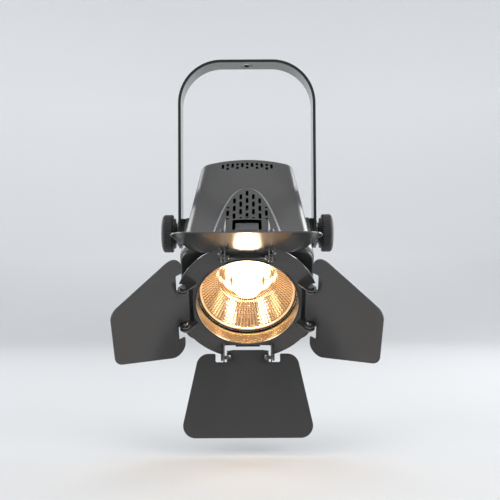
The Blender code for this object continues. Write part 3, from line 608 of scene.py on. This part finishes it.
def arched_side(half_width, height, arch_r, corner_r, corner_steps, arch_steps):
    """Points (x, z) over the top, from the right wall's corner to the left one's."""
    centre_z = height - arch_r
    corner_z = centre_z + math.sqrt((arch_r - corner_r) ** 2 - (half_width - corner_r) ** 2)
    lean = math.degrees(math.atan2(corner_z - centre_z, half_width - corner_r))
    right = arc((half_width - corner_r, corner_z), corner_r, 0, lean, corner_steps)
    middle = arc((0, centre_z), arch_r, lean, 180 - lean, arch_steps)[1:-1]
    left = [(-x, z) for x, z in reversed(right)]
    return right + middle + left


def upper_path(y, inset, arch_steps=128):
    width, top, _ = housing_size(y)
    width -= inset
    over = arched_side(width, top - inset, ARCH_R - inset, TOP_CORNER_R - inset * 0.5, 9, arch_steps)
    right = [(width - 0.5, SPLIT_Z), (width, SPLIT_Z + 0.6), (width, SPLIT_Z * 0.5), (width, 0.0)]
    right += [(width, 14.0), (width, 28.0)]
    return right + over + [(-x, z) for x, z in reversed(right)]


def lower_path(y, inset):
    width, _, bottom = housing_size(y)
    width -= inset
    under = arched_side(width, bottom - inset, BELLY_R - inset, BELLY_CORNER_R - inset * 0.5, 9, 24)
    low = SPLIT_Z - GAP
    right = [(width - 0.5, low), (width, low - 0.6), (width, low - 8.0)]
    return right + [(x, -z) for x, z in under] + [(-x, z) for x, z in reversed(right)]


def full_outline(y, inset):
    """The closed outline of the whole housing at y, set in from the outer skin."""
    return upper_path(y, inset, 40)[1:-1] + lower_path(y, inset)[1:-1][::-1]


def arch_rise(x, y):
    """How far the arched panel stands above the rest of the skin at (x, y)."""
    ahead = ARCH_APEX_Y - y
    reach = ARCH_LENGTH * (abs(x) / ARCH_HALF) ** (1 / ARCH_POWER)
    lean = ARCH_LENGTH / ARCH_HALF / ARCH_POWER * (abs(x) / ARCH_HALF) ** (1 / ARCH_POWER - 1)
    share = min(max((ahead - reach) / math.hypot(1.0, lean) / ARCH_SLOPE + 0.5, 0.0), 1.0)
    fade = min(max((y - LIP_Y) / 5.0, 0.0), 1.0)
    return ARCH_RISE * fade * share * share * (3 - 2 * share)


def cover_stations(fine):
    """(y, inset) from the rear edge to the lip; both ends are rounded."""
    rear = []
    for a in quarter(5, reverse=True):
        rear.append((REAR_Y - REAR_EDGE_R * (1 - math.sin(a)), REAR_EDGE_R * (1 - math.cos(a))))
    middle = [REAR_Y - 3 - 7.0 * i for i in range(1, 11)]
    start, end = ARCH_APEX_Y + 3, FRONT_Y + 1
    count = 124 if fine else 8
    ahead = [start + (end - start) * i / count for i in range(count + 1)]
    lip = []
    for a in quarter(6):
        lip.append((FRONT_Y + (LIP_Y - FRONT_Y) * math.sin(a), LIP_EDGE * (1 - math.cos(a))))
    return rear + [(y, 0.0) for y in middle + ahead] + lip


def quarter(steps, reverse=False):
    angles = [math.pi / 2 * i / steps for i in range(steps + 1)]
    return angles[::-1] if reverse else angles


def shell(path, rise=None):
    """A housing shell from its path function, open at both ends, where its wall is thinner."""
    rings = []
    for y, inset in cover_stations(rise is not None):
        outer = path(y, inset)
        inner = path(y, inset + (END_WALL if inset > END_INSET else WALL))
        ring = []
        for x, z in outer:
            ring.append((x, y, z + (rise(x, y) if rise and z > 30 else 0.0)))
        ring += [(x, y, z) for x, z in reversed(inner)]
        rings.append(ring)
    return loft(rings)


def vent_places():
    """(x, y, length share) of the slots and dots in both grilles."""
    places = []
    for column, (first, count) in enumerate(((-12.9, 4), (-20.7, 3), (-29.2, 3), (-54.9, 1))):
        for row in range(count):
            for side in (1,) if column == 0 else (1, -1):
                places.append((side * column * ARCH_VENT_STEP, first - row * ARCH_VENT_PITCH, 1.0))
    for side in (1, -1):
        places.append((side * 3 * ARCH_VENT_STEP, -42.9, DOT))
        places.append((side * 3 * ARCH_VENT_STEP, -66.5, DOT))
        places.append((side * ARCH_VENT_STEP, -66.3, DOT))
    for i in range(-5, 6):
        if i % 2:
            places.append((i * REAR_VENT_STEP, 59.6, REAR_SLOT))
        else:
            places += [(i * REAR_VENT_STEP, y, SHORT_SLOT) for y in (62.0, 52.9)]
    return places


def boss(side):
    """The round pivot boss on a side wall, with a rounded rim."""
    rim = arc((14.7, 64.7), 1.8, 90, 0, 4)
    profile = [(0, 54.0), (18.0, 54.0), (17.2, 60.0)] + [(r, x) for r, x in reversed(rim)] + [(0, 66.5)]
    return lathe([(r, side * x) for r, x in profile], "X", steps=64)


def latch_rib(side):
    """A wedge on the cover that holds one end of the latch pin."""
    centre = side * LATCH_RIB_X
    rings = []
    for y, crest_z, foot, crest in LATCH_RIB:
        crown = [(centre + dx * crest, y, crest_z + dz) for dx, dz in RIB_CROWN]
        rings.append([(centre - foot, y, 54.0), (centre + foot, y, 54.0)] + crown)
    return loft(rings)


def covers():
    upper = shell(upper_path, arch_rise)
    cutters = []
    for x, y, share in vent_places():
        cutters.append(prism(obround(x, y, VENT_WIDTH, VENT_LENGTH * share), 38, 80, "XY"))
    middle, half = (OPENING_REAR_Y - 120) / 2, (OPENING_REAR_Y + 120) / 2
    opening = rounded(rectangle(0, middle, LATCH_OPENING, half), 1.2)
    cutters.append(prism(opening, 45, 80, "XY"))
    # The walls that the cutters leave take slot 1, the near black finish: painted shade in the vents.
    upper = combined(upper, cutters, slot=1)
    # Faces on the arch's crease slope take the lighter paint in slot 3: painted highlight.
    for face in upper.faces:
        x, y, z = face.calc_center_median()
        share = arch_rise(x, y) / ARCH_RISE
        if z > 45 and face.normal.z > 0.5 and CREASE_LOW < share < CREASE_HIGH:
            face.material_index = 3
    ribs = joined(latch_rib(1), latch_rib(-1))
    # The latch ribs take the light grey metal: painted highlight.
    for face in ribs.faces:
        face.material_index = 2
    upper = joined(upper, boss(1), boss(-1), ribs)
    more, node = (VENT_PAINTED_SHADE, LUG_PAINTED_HIGHLIGHT, CREASE_PAINTED_HIGHLIGHT), ["upper_cover"]
    piece("housing_upper", upper, HEAD, PAINT, "head", node, smooth=40, others=more)
    lower = shell(lower_path)
    piece("housing_lower", lower, HEAD, PAINT, "head", ["lower_cover"], smooth=40)


def latch():
    flap = prism(FLAP, -LATCH_HALF, LATCH_HALF, "YZ")
    barrel = lathe([(1.8, -10.5), (3.0, -10.5), (3.0, 10.5), (1.8, 10.5)], "X", (0, *LATCH_PIN), 32)
    flap = joined(flap, barrel)
    piece("latch_flap", flap, HEAD, PAINT, "latch", ["accessory_latch"], edge=0.3)
    end = [(0, -25.2), (1.6, -25.2), (2.4, -24.6), (2.5, -23.6), (1.5, -23.6)]
    pin = lathe(end + [(r, -x) for r, x in reversed(end)], "X", (0, *LATCH_PIN), 24)
    piece("latch_pin_rod", pin, HEAD, DARK_STEEL, "head", ["latch_pin"], smooth=30)


# Front


def bezel():
    rear_y, r = LIP_Y - GAP, 1.6
    stations = [(-100.0, BEZEL_INSET + 3.4), (rear_y, BEZEL_INSET + 3.4), (rear_y, BEZEL_INSET)]
    stations += [(BEZEL_Y + r - r * math.sin(a), BEZEL_INSET + r - r * math.cos(a)) for a in quarter(5)]
    made = loft([[(x, y, z) for x, z in full_outline(FRONT_Y, inset)] for y, inset in stations])
    hole_r = HUB_R + HUB_WALL + 0.5
    hole = lathe([(0, -130), (hole_r + 16, -130), (hole_r, BEZEL_Y + 1.0), (hole_r, -90), (0, -90)])
    made = combined(made, [hole])
    clips = []
    for turn in (0, 90, -90):
        clip = prism(list(CLIP), -CLIP_HALF, CLIP_HALF, "YZ")
        clips.append(moved(clip, Matrix.Rotation(math.radians(turn), 4, "Y")))
    piece("bezel", joined(made, *clips), HEAD, TRIM, "head", ["front_bezel"], edge=0.35)


def paraboloid(y):
    """The reflector's inner radius at y."""
    return math.sqrt(FOCAL_4F * (RIM_Y + RIM_R**2 / FOCAL_4F - y))


def facet_rows(made):
    """The bowl's points, row by row, each row half a facet round from the last."""
    rows = []
    for j in range(FACET_ROWS + 1):
        y = THROAT_Y + (RIM_Y - THROAT_Y) * (j / FACET_ROWS) ** FACET_CROWDING
        r = paraboloid(y)
        row = []
        for i in range(FACET_SECTORS):
            a = math.tau * (i + (0.5 if j % 2 else 0.0)) / FACET_SECTORS
            row.append(made.verts.new((r * math.cos(a), y, r * math.sin(a))))
        rows.append(row)
    return rows


def facet_faces(made, rows):
    """Four-sided facets across every row, and triangles at both edges.

    Facets on odd rows are even diamonds. On even rows they lean round the bowl and lap over the next.
    """
    for j in range(1, FACET_ROWS):
        for i in range(FACET_SECTORS):
            after = (i + 1) % FACET_SECTORS
            left, right, beside = (i, after, after) if j % 2 else (i - 1, i, i)
            made.faces.new((rows[j - 1][beside], rows[j][right], rows[j + 1][beside], rows[j][left]))
    for near, far, odd in ((rows[0], rows[1], True), (rows[-1], rows[-2], FACET_ROWS % 2 == 0)):
        for i in range(FACET_SECTORS):
            after = (i + 1) % FACET_SECTORS
            made.faces.new((near[i], near[after], far[i if odd else after]))


def face_inwards(made):
    """Turns all faces to the beam's axis, judging by one of them."""
    bmesh.ops.recalc_face_normals(made, faces=made.faces)
    made.faces.ensure_lookup_table()
    probe = made.faces[len(made.faces) // 2]
    centre = probe.calc_center_median()
    if probe.normal.dot(Vector((-centre.x, 0.0, -centre.z))) < 0:
        bmesh.ops.reverse_faces(made, faces=made.faces)


def reflector():
    """Raised facets with seams between them, in a thin spun bowl with a rolled rim."""
    made = bmesh.new()
    facet_faces(made, facet_rows(made))
    face_inwards(made)
    facets = made.faces[:]
    bmesh.ops.inset_individual(made, faces=facets, thickness=FACET_SEAM, use_relative_offset=True)
    for face in made.faces:
        face.material_index = 1
    for face in facets:
        face.material_index = 0
    bmesh.ops.poke(made, faces=facets, offset=FACET_PEAK)
    node = ["reflector"]
    piece("reflector_facets", made, HEAD, MIRROR, "head", node, smooth=1.0, others=(SEAM,))
    rim = ((-1.4, 0.5), (-1.1, -0.3), (-0.5, -0.8), (0.0, -0.95), (0.6, -0.8), (1.0, -0.3), (1.1, 0.9))
    rim = [(RIM_R + across, RIM_Y + along) for across, along in rim]
    steps = 10
    back = [RIM_Y + 0.9 + (THROAT_Y - RIM_Y) * i / steps for i in range(1, steps + 1)]
    outer = [(paraboloid(y - 0.9) + 1.1, y) for y in back]
    inner = [(paraboloid(y - 0.9) + 0.45, y - 0.9) for y in reversed(back)]
    bowl = lathe(rim + outer + inner, steps=120)
    for face in bowl.faces:
        face.material_index = 1 if face.calc_center_median().y > RIM_Y + 0.7 else 0
    piece("reflector_bowl", bowl, HEAD, MIRROR, "head", smooth=40, others=(BOWL_BACK,))


def toothed(radius, along, angle):
    """Breaks the collar's raised rib into teeth."""
    lowered = along == TOOTH_Y and math.cos(angle * COLLAR_TEETH) > 0.0
    return radius, TOOTH_FOOT_Y if lowered else along


def optics():
    reflector()
    ring = [(46.2, -106.8), (46.5, -107.0), (47.2, -107.0), (47.3, TOOTH_Y), (47.9, TOOTH_Y), (48.0, -107.0)]
    ring += [(49.4, -107.0), (49.8, -106.7), (49.8, -105.0), (46.2, -105.0)]
    made = lathe(ring, steps=COLLAR_TEETH * 4, wave=toothed)
    # The teeth, behind y -107.3, take bright aluminium on the black plastic collar: painted glints.
    for face in made.faces:
        face.material_index = 1 if face.calc_center_median().y < -107.3 else 0
    node, teeth = ["reflector_ring"], (ALUMINIUM,)
    piece("reflector_collar", made, HEAD, PLASTIC, "head", node, smooth=30, others=teeth)
    dome = [(0.0, -79.2), (DOME_R, -79.2)] + [(r, -d) for r, d in arc((0, -DOME_Y), DOME_R, 0, 90, 18)]
    piece("led_lens", lathe(dome, steps=72), HEAD, GLOW, "head", ["led_dome"], smooth=60)


# Barn door


def ear_outline(steps=18):
    """The forward tab beside a notch, as (y, z)."""
    nose = arc((HINGE_R, HINGE_Y), 5.2, -150, 60, steps)
    foot, back = HINGE_R - 11.6, HINGE_R - 1.6
    return [(y, z) for z, y in [(foot, -124.4), (foot, -127.0)] + nose + [(back, -124.4)]]


def barn_ring():
    outer = HUB_R + HUB_WALL
    front = PLATE_Y - 0.6
    profile = [
        (HUB_R + 0.5, HUB_REAR_Y),
        (HUB_R, HUB_REAR_Y - 0.5),
        (HUB_R, front + 0.5),
        (HUB_R + 0.5, front),
        (outer - 0.3, front),
        (outer, front + 0.3),
        (outer, FLANGE_Y - PLATE_THICK),
        (FLANGE_R - 0.3, FLANGE_Y - PLATE_THICK),
        (FLANGE_R, FLANGE_Y - PLATE_THICK + 0.3),
        (FLANGE_R, FLANGE_Y - 0.3),
        (FLANGE_R - 0.3, FLANGE_Y),
        (outer, FLANGE_Y),
        (outer, HUB_REAR_Y),
    ]
    made = lathe(profile, steps=144)
    # Its inner faces take the pale gold metal instead of black sheet: painted LED light.
    for face in made.faces:
        centre = face.calc_center_median()
        face.material_index = 1 if math.hypot(centre.x, centre.z) < HUB_R + 0.3 else 0
    more = (HUB_INSIDE_PAINTED_LIGHT,)
    piece("hub", made, HEAD, SHEET, "barn_ring", ["barn_hub"], smooth=30, others=more)
    inner_r, front = outer + GAP, PLATE_Y + PLATE_THICK
    plate = lathe([(inner_r, PLATE_Y), (PLATE_R, PLATE_Y), (PLATE_R, front), (inner_r, front)], steps=144)
    cutters, ears = [], []
    for _, _, turn in LEAVES.values():
        around = Matrix.Rotation(math.radians(-turn), 4, "Y")
        notch = rectangle(0, (NOTCH_FLOOR + 80) / 2, NOTCH_HALF, (80 - NOTCH_FLOOR) / 2)
        cutters.append(moved(prism(rounded(notch, 1.5, 5), -130, -120), around))
        for side in (1, -1):
            low, high = sorted((side * (NOTCH_HALF - 0.05), side * (NOTCH_HALF + PLATE_THICK)))
            ear = edged(combined(prism(ear_outline(), low, high, "YZ"), [pin_hole()]), 0)
            ears.append(moved(ear, around))
    plate = joined(edged(combined(plate, cutters), 1), *ears)
    more = (EDGE_PAINTED_HIGHLIGHT,)
    piece("plate", plate, HEAD, SHEET, "barn_ring", ["barn_plate"], edge=0.28, others=more)


def pin_hole(centre=(0, HINGE_Y, HINGE_R)):
    return rod(2.2, -30, 30, "X", centre, 24)


def hinge_screws():
    """A domed screw with a cross recess, its shank, and a hexagonal nut on the outer side."""
    centre = (0, HINGE_Y, HINGE_R)
    dome = [(0, 15.6), (1.4, 15.7), (2.3, 16.2), (2.9, 17.2), (2.9, 18.6)]
    shank = [(1.9, 18.6), (1.9, 26.2), (0, 26.2)]
    nut_profile = [(1.9, 24.1), (3.3, 24.1), (3.3, 25.8), (3.0, 26.1), (1.9, 26.1)]
    for name, (_, _, turn) in LEAVES.items():
        space = HEAD @ Matrix.Rotation(math.radians(-turn), 4, "Y")
        for side, label in ((1, "a"), (-1, "b")):
            body = lathe(dome + shank, "X", centre, 28)
            for arm in cross_recess(15.0, 16.8, (1.6, 0.32), "X", centre):
                body = combined(body, [arm])
            nut = lathe(nut_profile, "X", centre, 6)
            made = moved(joined(body, nut), Matrix.Scale(side, 4, (1, 0, 0)))
            bolt, node = f"hinge_bolt_{name}_{label}", [f"hinge_screw_{name}_{label}"]
            piece(bolt, made, space, DARK_STEEL, "barn_ring", node, edge=0.12)


def leaf_outline(near, far, start, end, tongue_end, relief):
    """The sheet in its own plane, with two reliefs by the ears."""
    shape = rounded([(-near, start), (near, start), (far, end), (-far, end)], LEAF_CORNER_R, 14)
    first_corner, others = shape[:15], shape[15:]
    tongue = LEAF_EAR + LEAF_THICK
    side = RELIEF_FLOOR - 1.0
    corner = RELIEF_FLOOR - 0.3
    half = [(tongue - 6.0, tongue_end), (tongue - 0.6, tongue_end + 0.8), (tongue, tongue_end + 2.0)]
    half += [(tongue, side), (tongue + 0.4, corner), (tongue + 1.2, RELIEF_FLOOR)]
    half += [(relief - 1.2, RELIEF_FLOOR), (relief - 0.4, corner), (relief, side)]
    half += [(relief, start + 1.0), (relief + 0.8, start)]
    return first_corner + [(-s, t) for s, t in reversed(half)] + half + others


def leaves():
    nose = arc((0, 0), 4.6, 180, 360, 18)
    ear_side = [(y, z) for z, y in nose + [(5.6, SHEET_DROP), (-7.0, SHEET_DROP)]]
    for name, (shape, opening, turn) in LEAVES.items():
        around = Matrix.Rotation(math.radians(-turn), 4, "Y")
        hinge = Matrix.Translation((0, HINGE_Y, HINGE_R)) @ Matrix.Rotation(math.radians(opening), 4, "X")
        low, high = SHEET_DROP - LEAF_THICK / 2, SHEET_DROP + LEAF_THICK / 2
        solids = [edged(prism(leaf_outline(*shape), low, high), 1)]
        for side in (1, -1):
            inner, outer = sorted((side * LEAF_EAR, side * (LEAF_EAR + LEAF_THICK)))
            solids.append(edged(combined(prism(ear_side, inner, outer, "YZ"), [pin_hole((0, 0, 0))]), 0))
        space = HEAD @ around @ hinge
        body = f"leaf_{name}"
        made = joined(*solids)
        more = (EDGE_PAINTED_HIGHLIGHT,)
        piece(f"leaf_sheet_{name}", made, space, SHEET, body, [body], edge=0.3, others=more)


# Yoke and knobs


def yoke():
    """A strap with rounded edges, bent twice, round-ended about the pivot."""
    outer_x = YOKE_INNER + STRAP_THICK
    half = STRAP_WIDTH / 2
    path = []
    for degrees in range(84, -1, -6):
        angle = math.radians(degrees)
        z = -PIVOT_DROP - half * math.sin(angle)
        path.append(((outer_x, z), (YOKE_INNER, z), half * math.cos(angle)))
    bend = (outer_x - YOKE_BEND, -YOKE_BEND)
    outside = arc(bend, YOKE_BEND, 0, 90, 24)
    inside = arc(bend, YOKE_BEND - STRAP_THICK, 0, 90, 24)
    path += [(a, b, half) for a, b in zip(outside, inside)]
    path += [((-a[0], a[1]), (-b[0], b[1]), w) for a, b, w in reversed(path)]
    rings = [[(a[0], -w, a[1]), (a[0], w, a[1]), (b[0], w, b[1]), (b[0], -w, b[1])] for a, b, w in path]
    strap = loft(rings)
    bore = rod(STUD_HOLE_R, -90, 90, "X", (0, 0, -PIVOT_DROP), 40)
    hole = rod(CLAMP_HOLE_R, -10, 10, "Z", steps=48)
    strap = combined(strap, [bore, hole])
    # The strap's narrow edges, square to Y, take the near black finish: painted shade.
    for face in strap.faces:
        face.material_index = 1 if abs(face.normal.y) > 0.9 else 0
    more = (STRAP_EDGE_PAINTED_SHADE,)
    piece("yoke_strap", strap, MILLIMETRES, STRAP, "yoke", ["yoke"], edge=0.5, others=more)


def ribbed(radius, along, angle):
    """Sinks the knob's grip between its ribs."""
    sunk = RIB_DEPTH * (0.5 - 0.5 * math.cos(angle * KNOB_RIBS)) ** 2
    return radius - (sunk if radius > KNOB_R - 2.2 else 0.0), along


def knobs():
    chamfer = arc((KNOB_R - 3.2, 86.6), 3.2, 8, 62, 5)
    neck = [(4.3, 74.3), (10.6, 74.3), (11.0, 74.7), (11.0, 76.2), (15.6, 76.2), (16.0, 76.6), (16.0, 78.6)]
    grip = [(KNOB_R - 0.8, 78.6)] + [(KNOB_R, x) for x in (79.4, 81.0, 84.0, 86.4)]
    dish = [(15.4, 90.4), (14.6, 89.6), (13.8, 89.3), (9.6, 89.3), (9.0, 89.6), (8.6, 90.6), (8.0, 91.0)]
    profile = neck + grip + chamfer + dish + [(0.0, 91.0), (0.0, 86.3), (4.3, 86.3)]
    for side, name in ((1, "right"), (-1, "left")):
        made = lathe([(r, side * x) for r, x in profile], "X", steps=KNOB_RIBS * 8, wave=ribbed)
        knob = f"knob_{name}"
        piece(f"grip_{name}", made, PIVOT_SPACE, PLASTIC, knob, [knob], smooth=50)


# Rear


def rear():
    outline = full_outline(PANEL_Y - 1.2, WALL + GAP)
    cutters = [prism(rounded(rectangle(0, DISPLAY_Z, 20.6, 7.3), 1.2, 4), 60, 75)]
    for x in BUTTON_X:
        cutters.append(rod(3.6, 60, 75, "Y", (x, 0, BUTTON_Z), 32))
    for side in (1, -1):
        cutters.append(rod(11.3, 60, 75, "Y", (side * DMX_X, 0, DMX_Z), 56))
        cutters.append(prism(rounded(rectangle(side * POWER_X, POWER_Z, 13.9, 9.4), 1.0, 4), 60, 75))
    cutters.append(rod(5.3, 60, 75, "Y", (0, 0, POWER_Z), 40))
    panel = combined(prism(outline, PANEL_Y - 2.0, PANEL_Y), cutters)
    piece("panel", panel, HEAD, PAINT, "head", ["rear_panel"], edge=0.25)
    display()
    buttons()
    sockets()
    fuse()
    loop()


def display():
    glass = prism(rounded(rectangle(0, DISPLAY_Z, 20.2, 6.9), 1.0, 4), 64.6, 67.4)
    piece("display_glass", glass, HEAD, WINDOW, "head", ["display_window"], edge=0.3)
    bars = []
    for digit in range(4):
        x = -13.8 + digit * 9.2
        for z in (-4.0, 0.0, 4.0):
            bars.append(bar_outline(x, DISPLAY_Z + z, 2.0, 0.42))
        for dx in (-2.6, 2.6):
            for z in (-2.0, 2.0):
                bars.append([(x + dx + b, DISPLAY_Z + z + a) for a, b in bar_outline(0, 0, 1.4, 0.42)])
    digits = joined(*[prism(bar, 67.3, 67.45) for bar in bars])
    piece("display_digits", digits, HEAD, SEGMENTS, "head")


def bar_outline(x, z, half_length, half_width):
    """A six-sided bar of a seven-segment digit."""
    tip = half_length + half_width
    low, high = z - half_width, z + half_width
    left, right = x - half_length, x + half_length
    return [(x - tip, z), (left, low), (right, low), (x + tip, z), (right, high), (left, high)]


def buttons():
    top = arc((2.2, 68.3), 1.0, 0, 90, 5)
    cap = [(0, 61.0), (4.4, 61.0), (4.4, 62.6), (3.2, 62.6)] + top + [(1.4, 69.1), (0, 69.05)]
    for i, x in enumerate(BUTTON_X):
        made = lathe(cap, "Y", (x, 0, BUTTON_Z), 40)
        number = i + 1
        body, node = f"button_{number}", [f"menu_button_{number}"]
        piece(f"button_cap_{number}", made, HEAD, PLASTIC, body, node, smooth=40)


def sockets():
    """A plug with pins for the data coming in, a socket with holes for the data going out, and power."""
    skirt = [(0, 50), (11.0, 50), (11.0, 67.3), (12.4, 67.3), (12.4, 68.6), (12.0, 69.0)]
    mouths = {
        "input": [(9.6, 69.0), (9.2, 68.6), (9.2, 56.0), (0, 56.0)],
        "output": [(11.0, 69.0), (11.0, 69.6), (10.6, 70.0), (9.0, 70.0), (9.0, 69.2), (0, 69.2)],
    }
    for name, side in (("input", -1), ("output", 1)):
        at = (side * DMX_X, 0, DMX_Z)
        socket = lathe(skirt + mouths[name], "Y", at, 72)
        poles = []
        for a in map(math.radians, (-90, 30, 150)):
            poles.append((at[0] + 5.0 * math.cos(a), 0, at[2] + 5.0 * math.sin(a)))
        if name == "input":
            tip = [(0, 55.0), (1.2, 55.0), (1.2, 65.2), (0.8, 65.9), (0, 66.0)]
            pins = joined(*[lathe(tip, "Y", pole, 20) for pole in poles])
            piece("dmx_input_pins", pins, HEAD, BRASS, "head", smooth=40)
        else:
            socket = combined(socket, [rod(1.6, 58, 72, "Y", pole, 24) for pole in poles])
        node = [f"dmx_{name}"]
        piece(f"dmx_shell_{name}", socket, HEAD, PLASTIC, "head", node, edge=0.2)
        power_socket(name, side * POWER_X)


def power_socket(name, x):
    flange = prism(rounded(rectangle(x, POWER_Z, 15.2, 10.6), 2.0, 5), 67.3, 69.2)
    body = prism(rounded(rectangle(x, POWER_Z, 13.5, 9.0), 1.0, 3), 48.0, 67.5)
    socket = combined(flange, [body], "UNION")
    low, high = (52.0, 65.0) if name == "input" else (58.0, 75.0)
    blades = []
    for a, b in ((-7.0, -2.0), (0.0, 2.0), (7.0, -2.0)):
        blades.append(block((x + a - 1.0, low, POWER_Z + b - 2.0), (x + a + 1.0, high, POWER_Z + b + 2.0)))
    if name == "input":
        socket = combined(socket, [prism(rounded(rectangle(x, POWER_Z, 11.8, 7.5), 2.5, 6), 53.0, 75.0)])
        piece("power_input_blades", joined(*blades), HEAD, STEEL, "head", edge=0.3)
    else:
        socket = combined(socket, blades)
    node = [f"power_{name}"]
    piece(f"power_shell_{name}", socket, HEAD, PLASTIC, "head", node, edge=0.25)


def fuse():
    profile = [(0, 50), (5.0, 50), (5.0, 67.3), (6.4, 67.3), (6.4, 69.4), (6.0, 70.2), (5.2, 70.6)]
    made = lathe(profile + [(0, 70.6)], "Y", (0, 0, POWER_Z), 48)
    made = combined(made, [block((-4.0, 69.4, POWER_Z - 0.6), (4.0, 75.0, POWER_Z + 0.6))])
    piece("fuse_cap", made, HEAD, PLASTIC, "head", ["fuse_holder"], edge=0.15)


def loop():
    foot = prism(rounded(rectangle(0, LOOP_Z, 12.0, 2.5), 1.0, 4), PANEL_Y + GAP, PANEL_Y + 1.9)
    bar = [(LOOP_R, 68.0), (LOOP_R, 70.0)] + arc((0, LOOP_Y), LOOP_R, 0, 180, 28)
    bar += [(-LOOP_R, 70.0), (-LOOP_R, 68.0)]
    rings = []
    for i, (x, y) in enumerate(bar):
        heading = (Vector(bar[min(i + 1, len(bar) - 1)]) - Vector(bar[max(i - 1, 0)])).normalized()
        aside = Vector((heading.y, -heading.x))
        ring = arc((0, 0), LOOP_BAR_R, 0, 345, 23)
        rings.append([(x + aside.x * a, y + aside.y * a, LOOP_Z + b) for a, b in ring])
    made = joined(foot, loft(rings))
    piece("safety_bail", made, HEAD, STEEL, "head", ["safety_loop"], smooth=30)


def cover_screws():
    profile = [(0, -0.5), (2.0, -0.5), (3.2, -1.0), (3.2, -1.9), (2.7, -2.5), (1.6, -2.8), (0, -2.8)]
    for i, (x, y) in enumerate(((-40.0, 50.0), (40.0, 50.0), (-46.0, -85.0), (46.0, -85.0))):
        z = -housing_size(y)[2] + x * x / (2 * BELLY_R)
        made = lathe(profile, "Z", (x, y, z), 32)
        for arm in cross_recess(z - 4.0, z - 1.7, (1.9, 0.35), "Z", (x, y, z)):
            made = combined(made, [arm])
        node = [f"cover_screw_{i + 1}"]
        piece(f"belly_screw_{i + 1}", made, HEAD, DARK_STEEL, "head", node, edge=0.1)


def kept_nodes():
    """CAD parts whose shape stays: they get a finish only."""
    looks = {"led_board": ALUMINIUM, "heatsink": ALUMINIUM, "driver_board": BOARD, "control_board": BOARD}
    for side in ("left", "right"):
        looks[f"clamp_stud_{side}"] = STEEL
        looks[f"knob_washer_{side}"] = DARK_STEEL
        looks[f"friction_disc_{side}"] = RUBBER
    for node, look in looks.items():
        frame["nodes"][node].material_slots[0].material = look


# Studio


def paper_finish():
    """Pale paper that glows a little, darker in front of the lamp and low down."""
    nodes = Nodes("studio_paper")
    split = nodes.add("ShaderNodeSeparateXYZ")
    nodes.link(nodes.place, split.inputs[0])
    behind = nodes.spread(split.outputs["Y"], 0.0, 1.0, *FRONT_FADE)
    layers = (("Base Color", FLOOR_FADE, FLOOR_SHADE), ("Emission Color", GLOW_FADE, FLOOR_GLOW))
    for socket, fade, floor_share in layers:
        low, high = (FLOOR_Z + rise for rise in fade)
        above = nodes.spread(split.outputs["Z"], 0.0, 1.0, low, high)
        tone = nodes.blend(above, shade(PALE, floor_share), PALE)
        nodes.feed(socket, nodes.blend(behind, shade(PALE, FRONT_SHADE), tone))
    nodes.set(Roughness=0.9, Emission_Strength=SWEEP_GLOW, Specular_IOR_Level=0.0)
    return nodes.material


def studio():
    """A round pale sweep, so that every side sees the same floor and wall."""
    bend = arc((SWEEP_R, FLOOR_Z + SWEEP_BEND_R), SWEEP_BEND_R, -90, 0, 20)
    profile = [(0.02, FLOOR_Z), (0.4, FLOOR_Z), (0.9, FLOOR_Z)] + bend
    profile.append((SWEEP_R + SWEEP_BEND_R, FLOOR_Z + SWEEP_HEIGHT))
    made = bmesh.new()
    rows = []
    for i in range(SWEEP_STEPS):
        a = math.tau * i / SWEEP_STEPS
        rows.append([made.verts.new((r * math.cos(a), r * math.sin(a), z)) for r, z in profile])
    for i, row in enumerate(rows):
        after = rows[(i + 1) % SWEEP_STEPS]
        for j in range(len(row) - 1):
            made.faces.new((row[j], after[j], after[j + 1], row[j + 1]))
    made.faces.new([row[0] for row in rows])
    bmesh.ops.recalc_face_normals(made, faces=made.faces)
    bmesh.ops.reverse_faces(made, faces=made.faces)
    mesh = bpy.data.meshes.new("sweep")
    made.to_mesh(mesh)
    made.free()
    mesh.shade_smooth()
    mesh.materials.append(paper_finish())
    sweep = bpy.data.objects.new("sweep", mesh)
    bpy.context.scene.collection.objects.link(sweep)


def lamps():
    for name, place, size, power in LAMPS:
        light = bpy.data.lights.new(name, "AREA")
        light.shape = "RECTANGLE"
        light.size, light.size_y = size
        light.energy = power
        obj = bpy.data.objects.new(name, light)
        obj.location = place
        aim = Vector(LAMP_AIM) - Vector(place)
        obj.rotation_euler = aim.to_track_quat("-Z", "Y").to_euler()
        bpy.context.scene.collection.objects.link(obj)
    world = bpy.data.worlds.new("studio")
    world.use_nodes = True
    background = world.node_tree.nodes["Background"]
    background.inputs["Color"].default_value = (*PALE, 1.0)
    background.inputs["Strength"].default_value = AMBIENT
    bpy.context.scene.world = world


def camera():
    data = bpy.data.cameras.new("camera")
    data.sensor_width = CAMERA_SENSOR
    data.lens = CAMERA_LENS
    obj = bpy.data.objects.new("camera", data)
    yaw, pitch, roll = (math.radians(angle) for angle in CAMERA_TURNS)
    turn = Matrix.Rotation(yaw, 4, "Z") @ Matrix.Rotation(pitch, 4, "X") @ Matrix.Rotation(roll, 4, "Z")
    obj.matrix_world = Matrix.Translation(CAMERA_PLACE) @ turn
    bpy.context.scene.collection.objects.link(obj)
    bpy.context.scene.camera = obj
    bpy.context.scene.view_settings.view_transform = "Standard"


camera()
studio()
lamps()
covers()
latch()
bezel()
optics()
barn_ring()
hinge_screws()
leaves()
yoke()
knobs()
rear()
cover_screws()
kept_nodes()
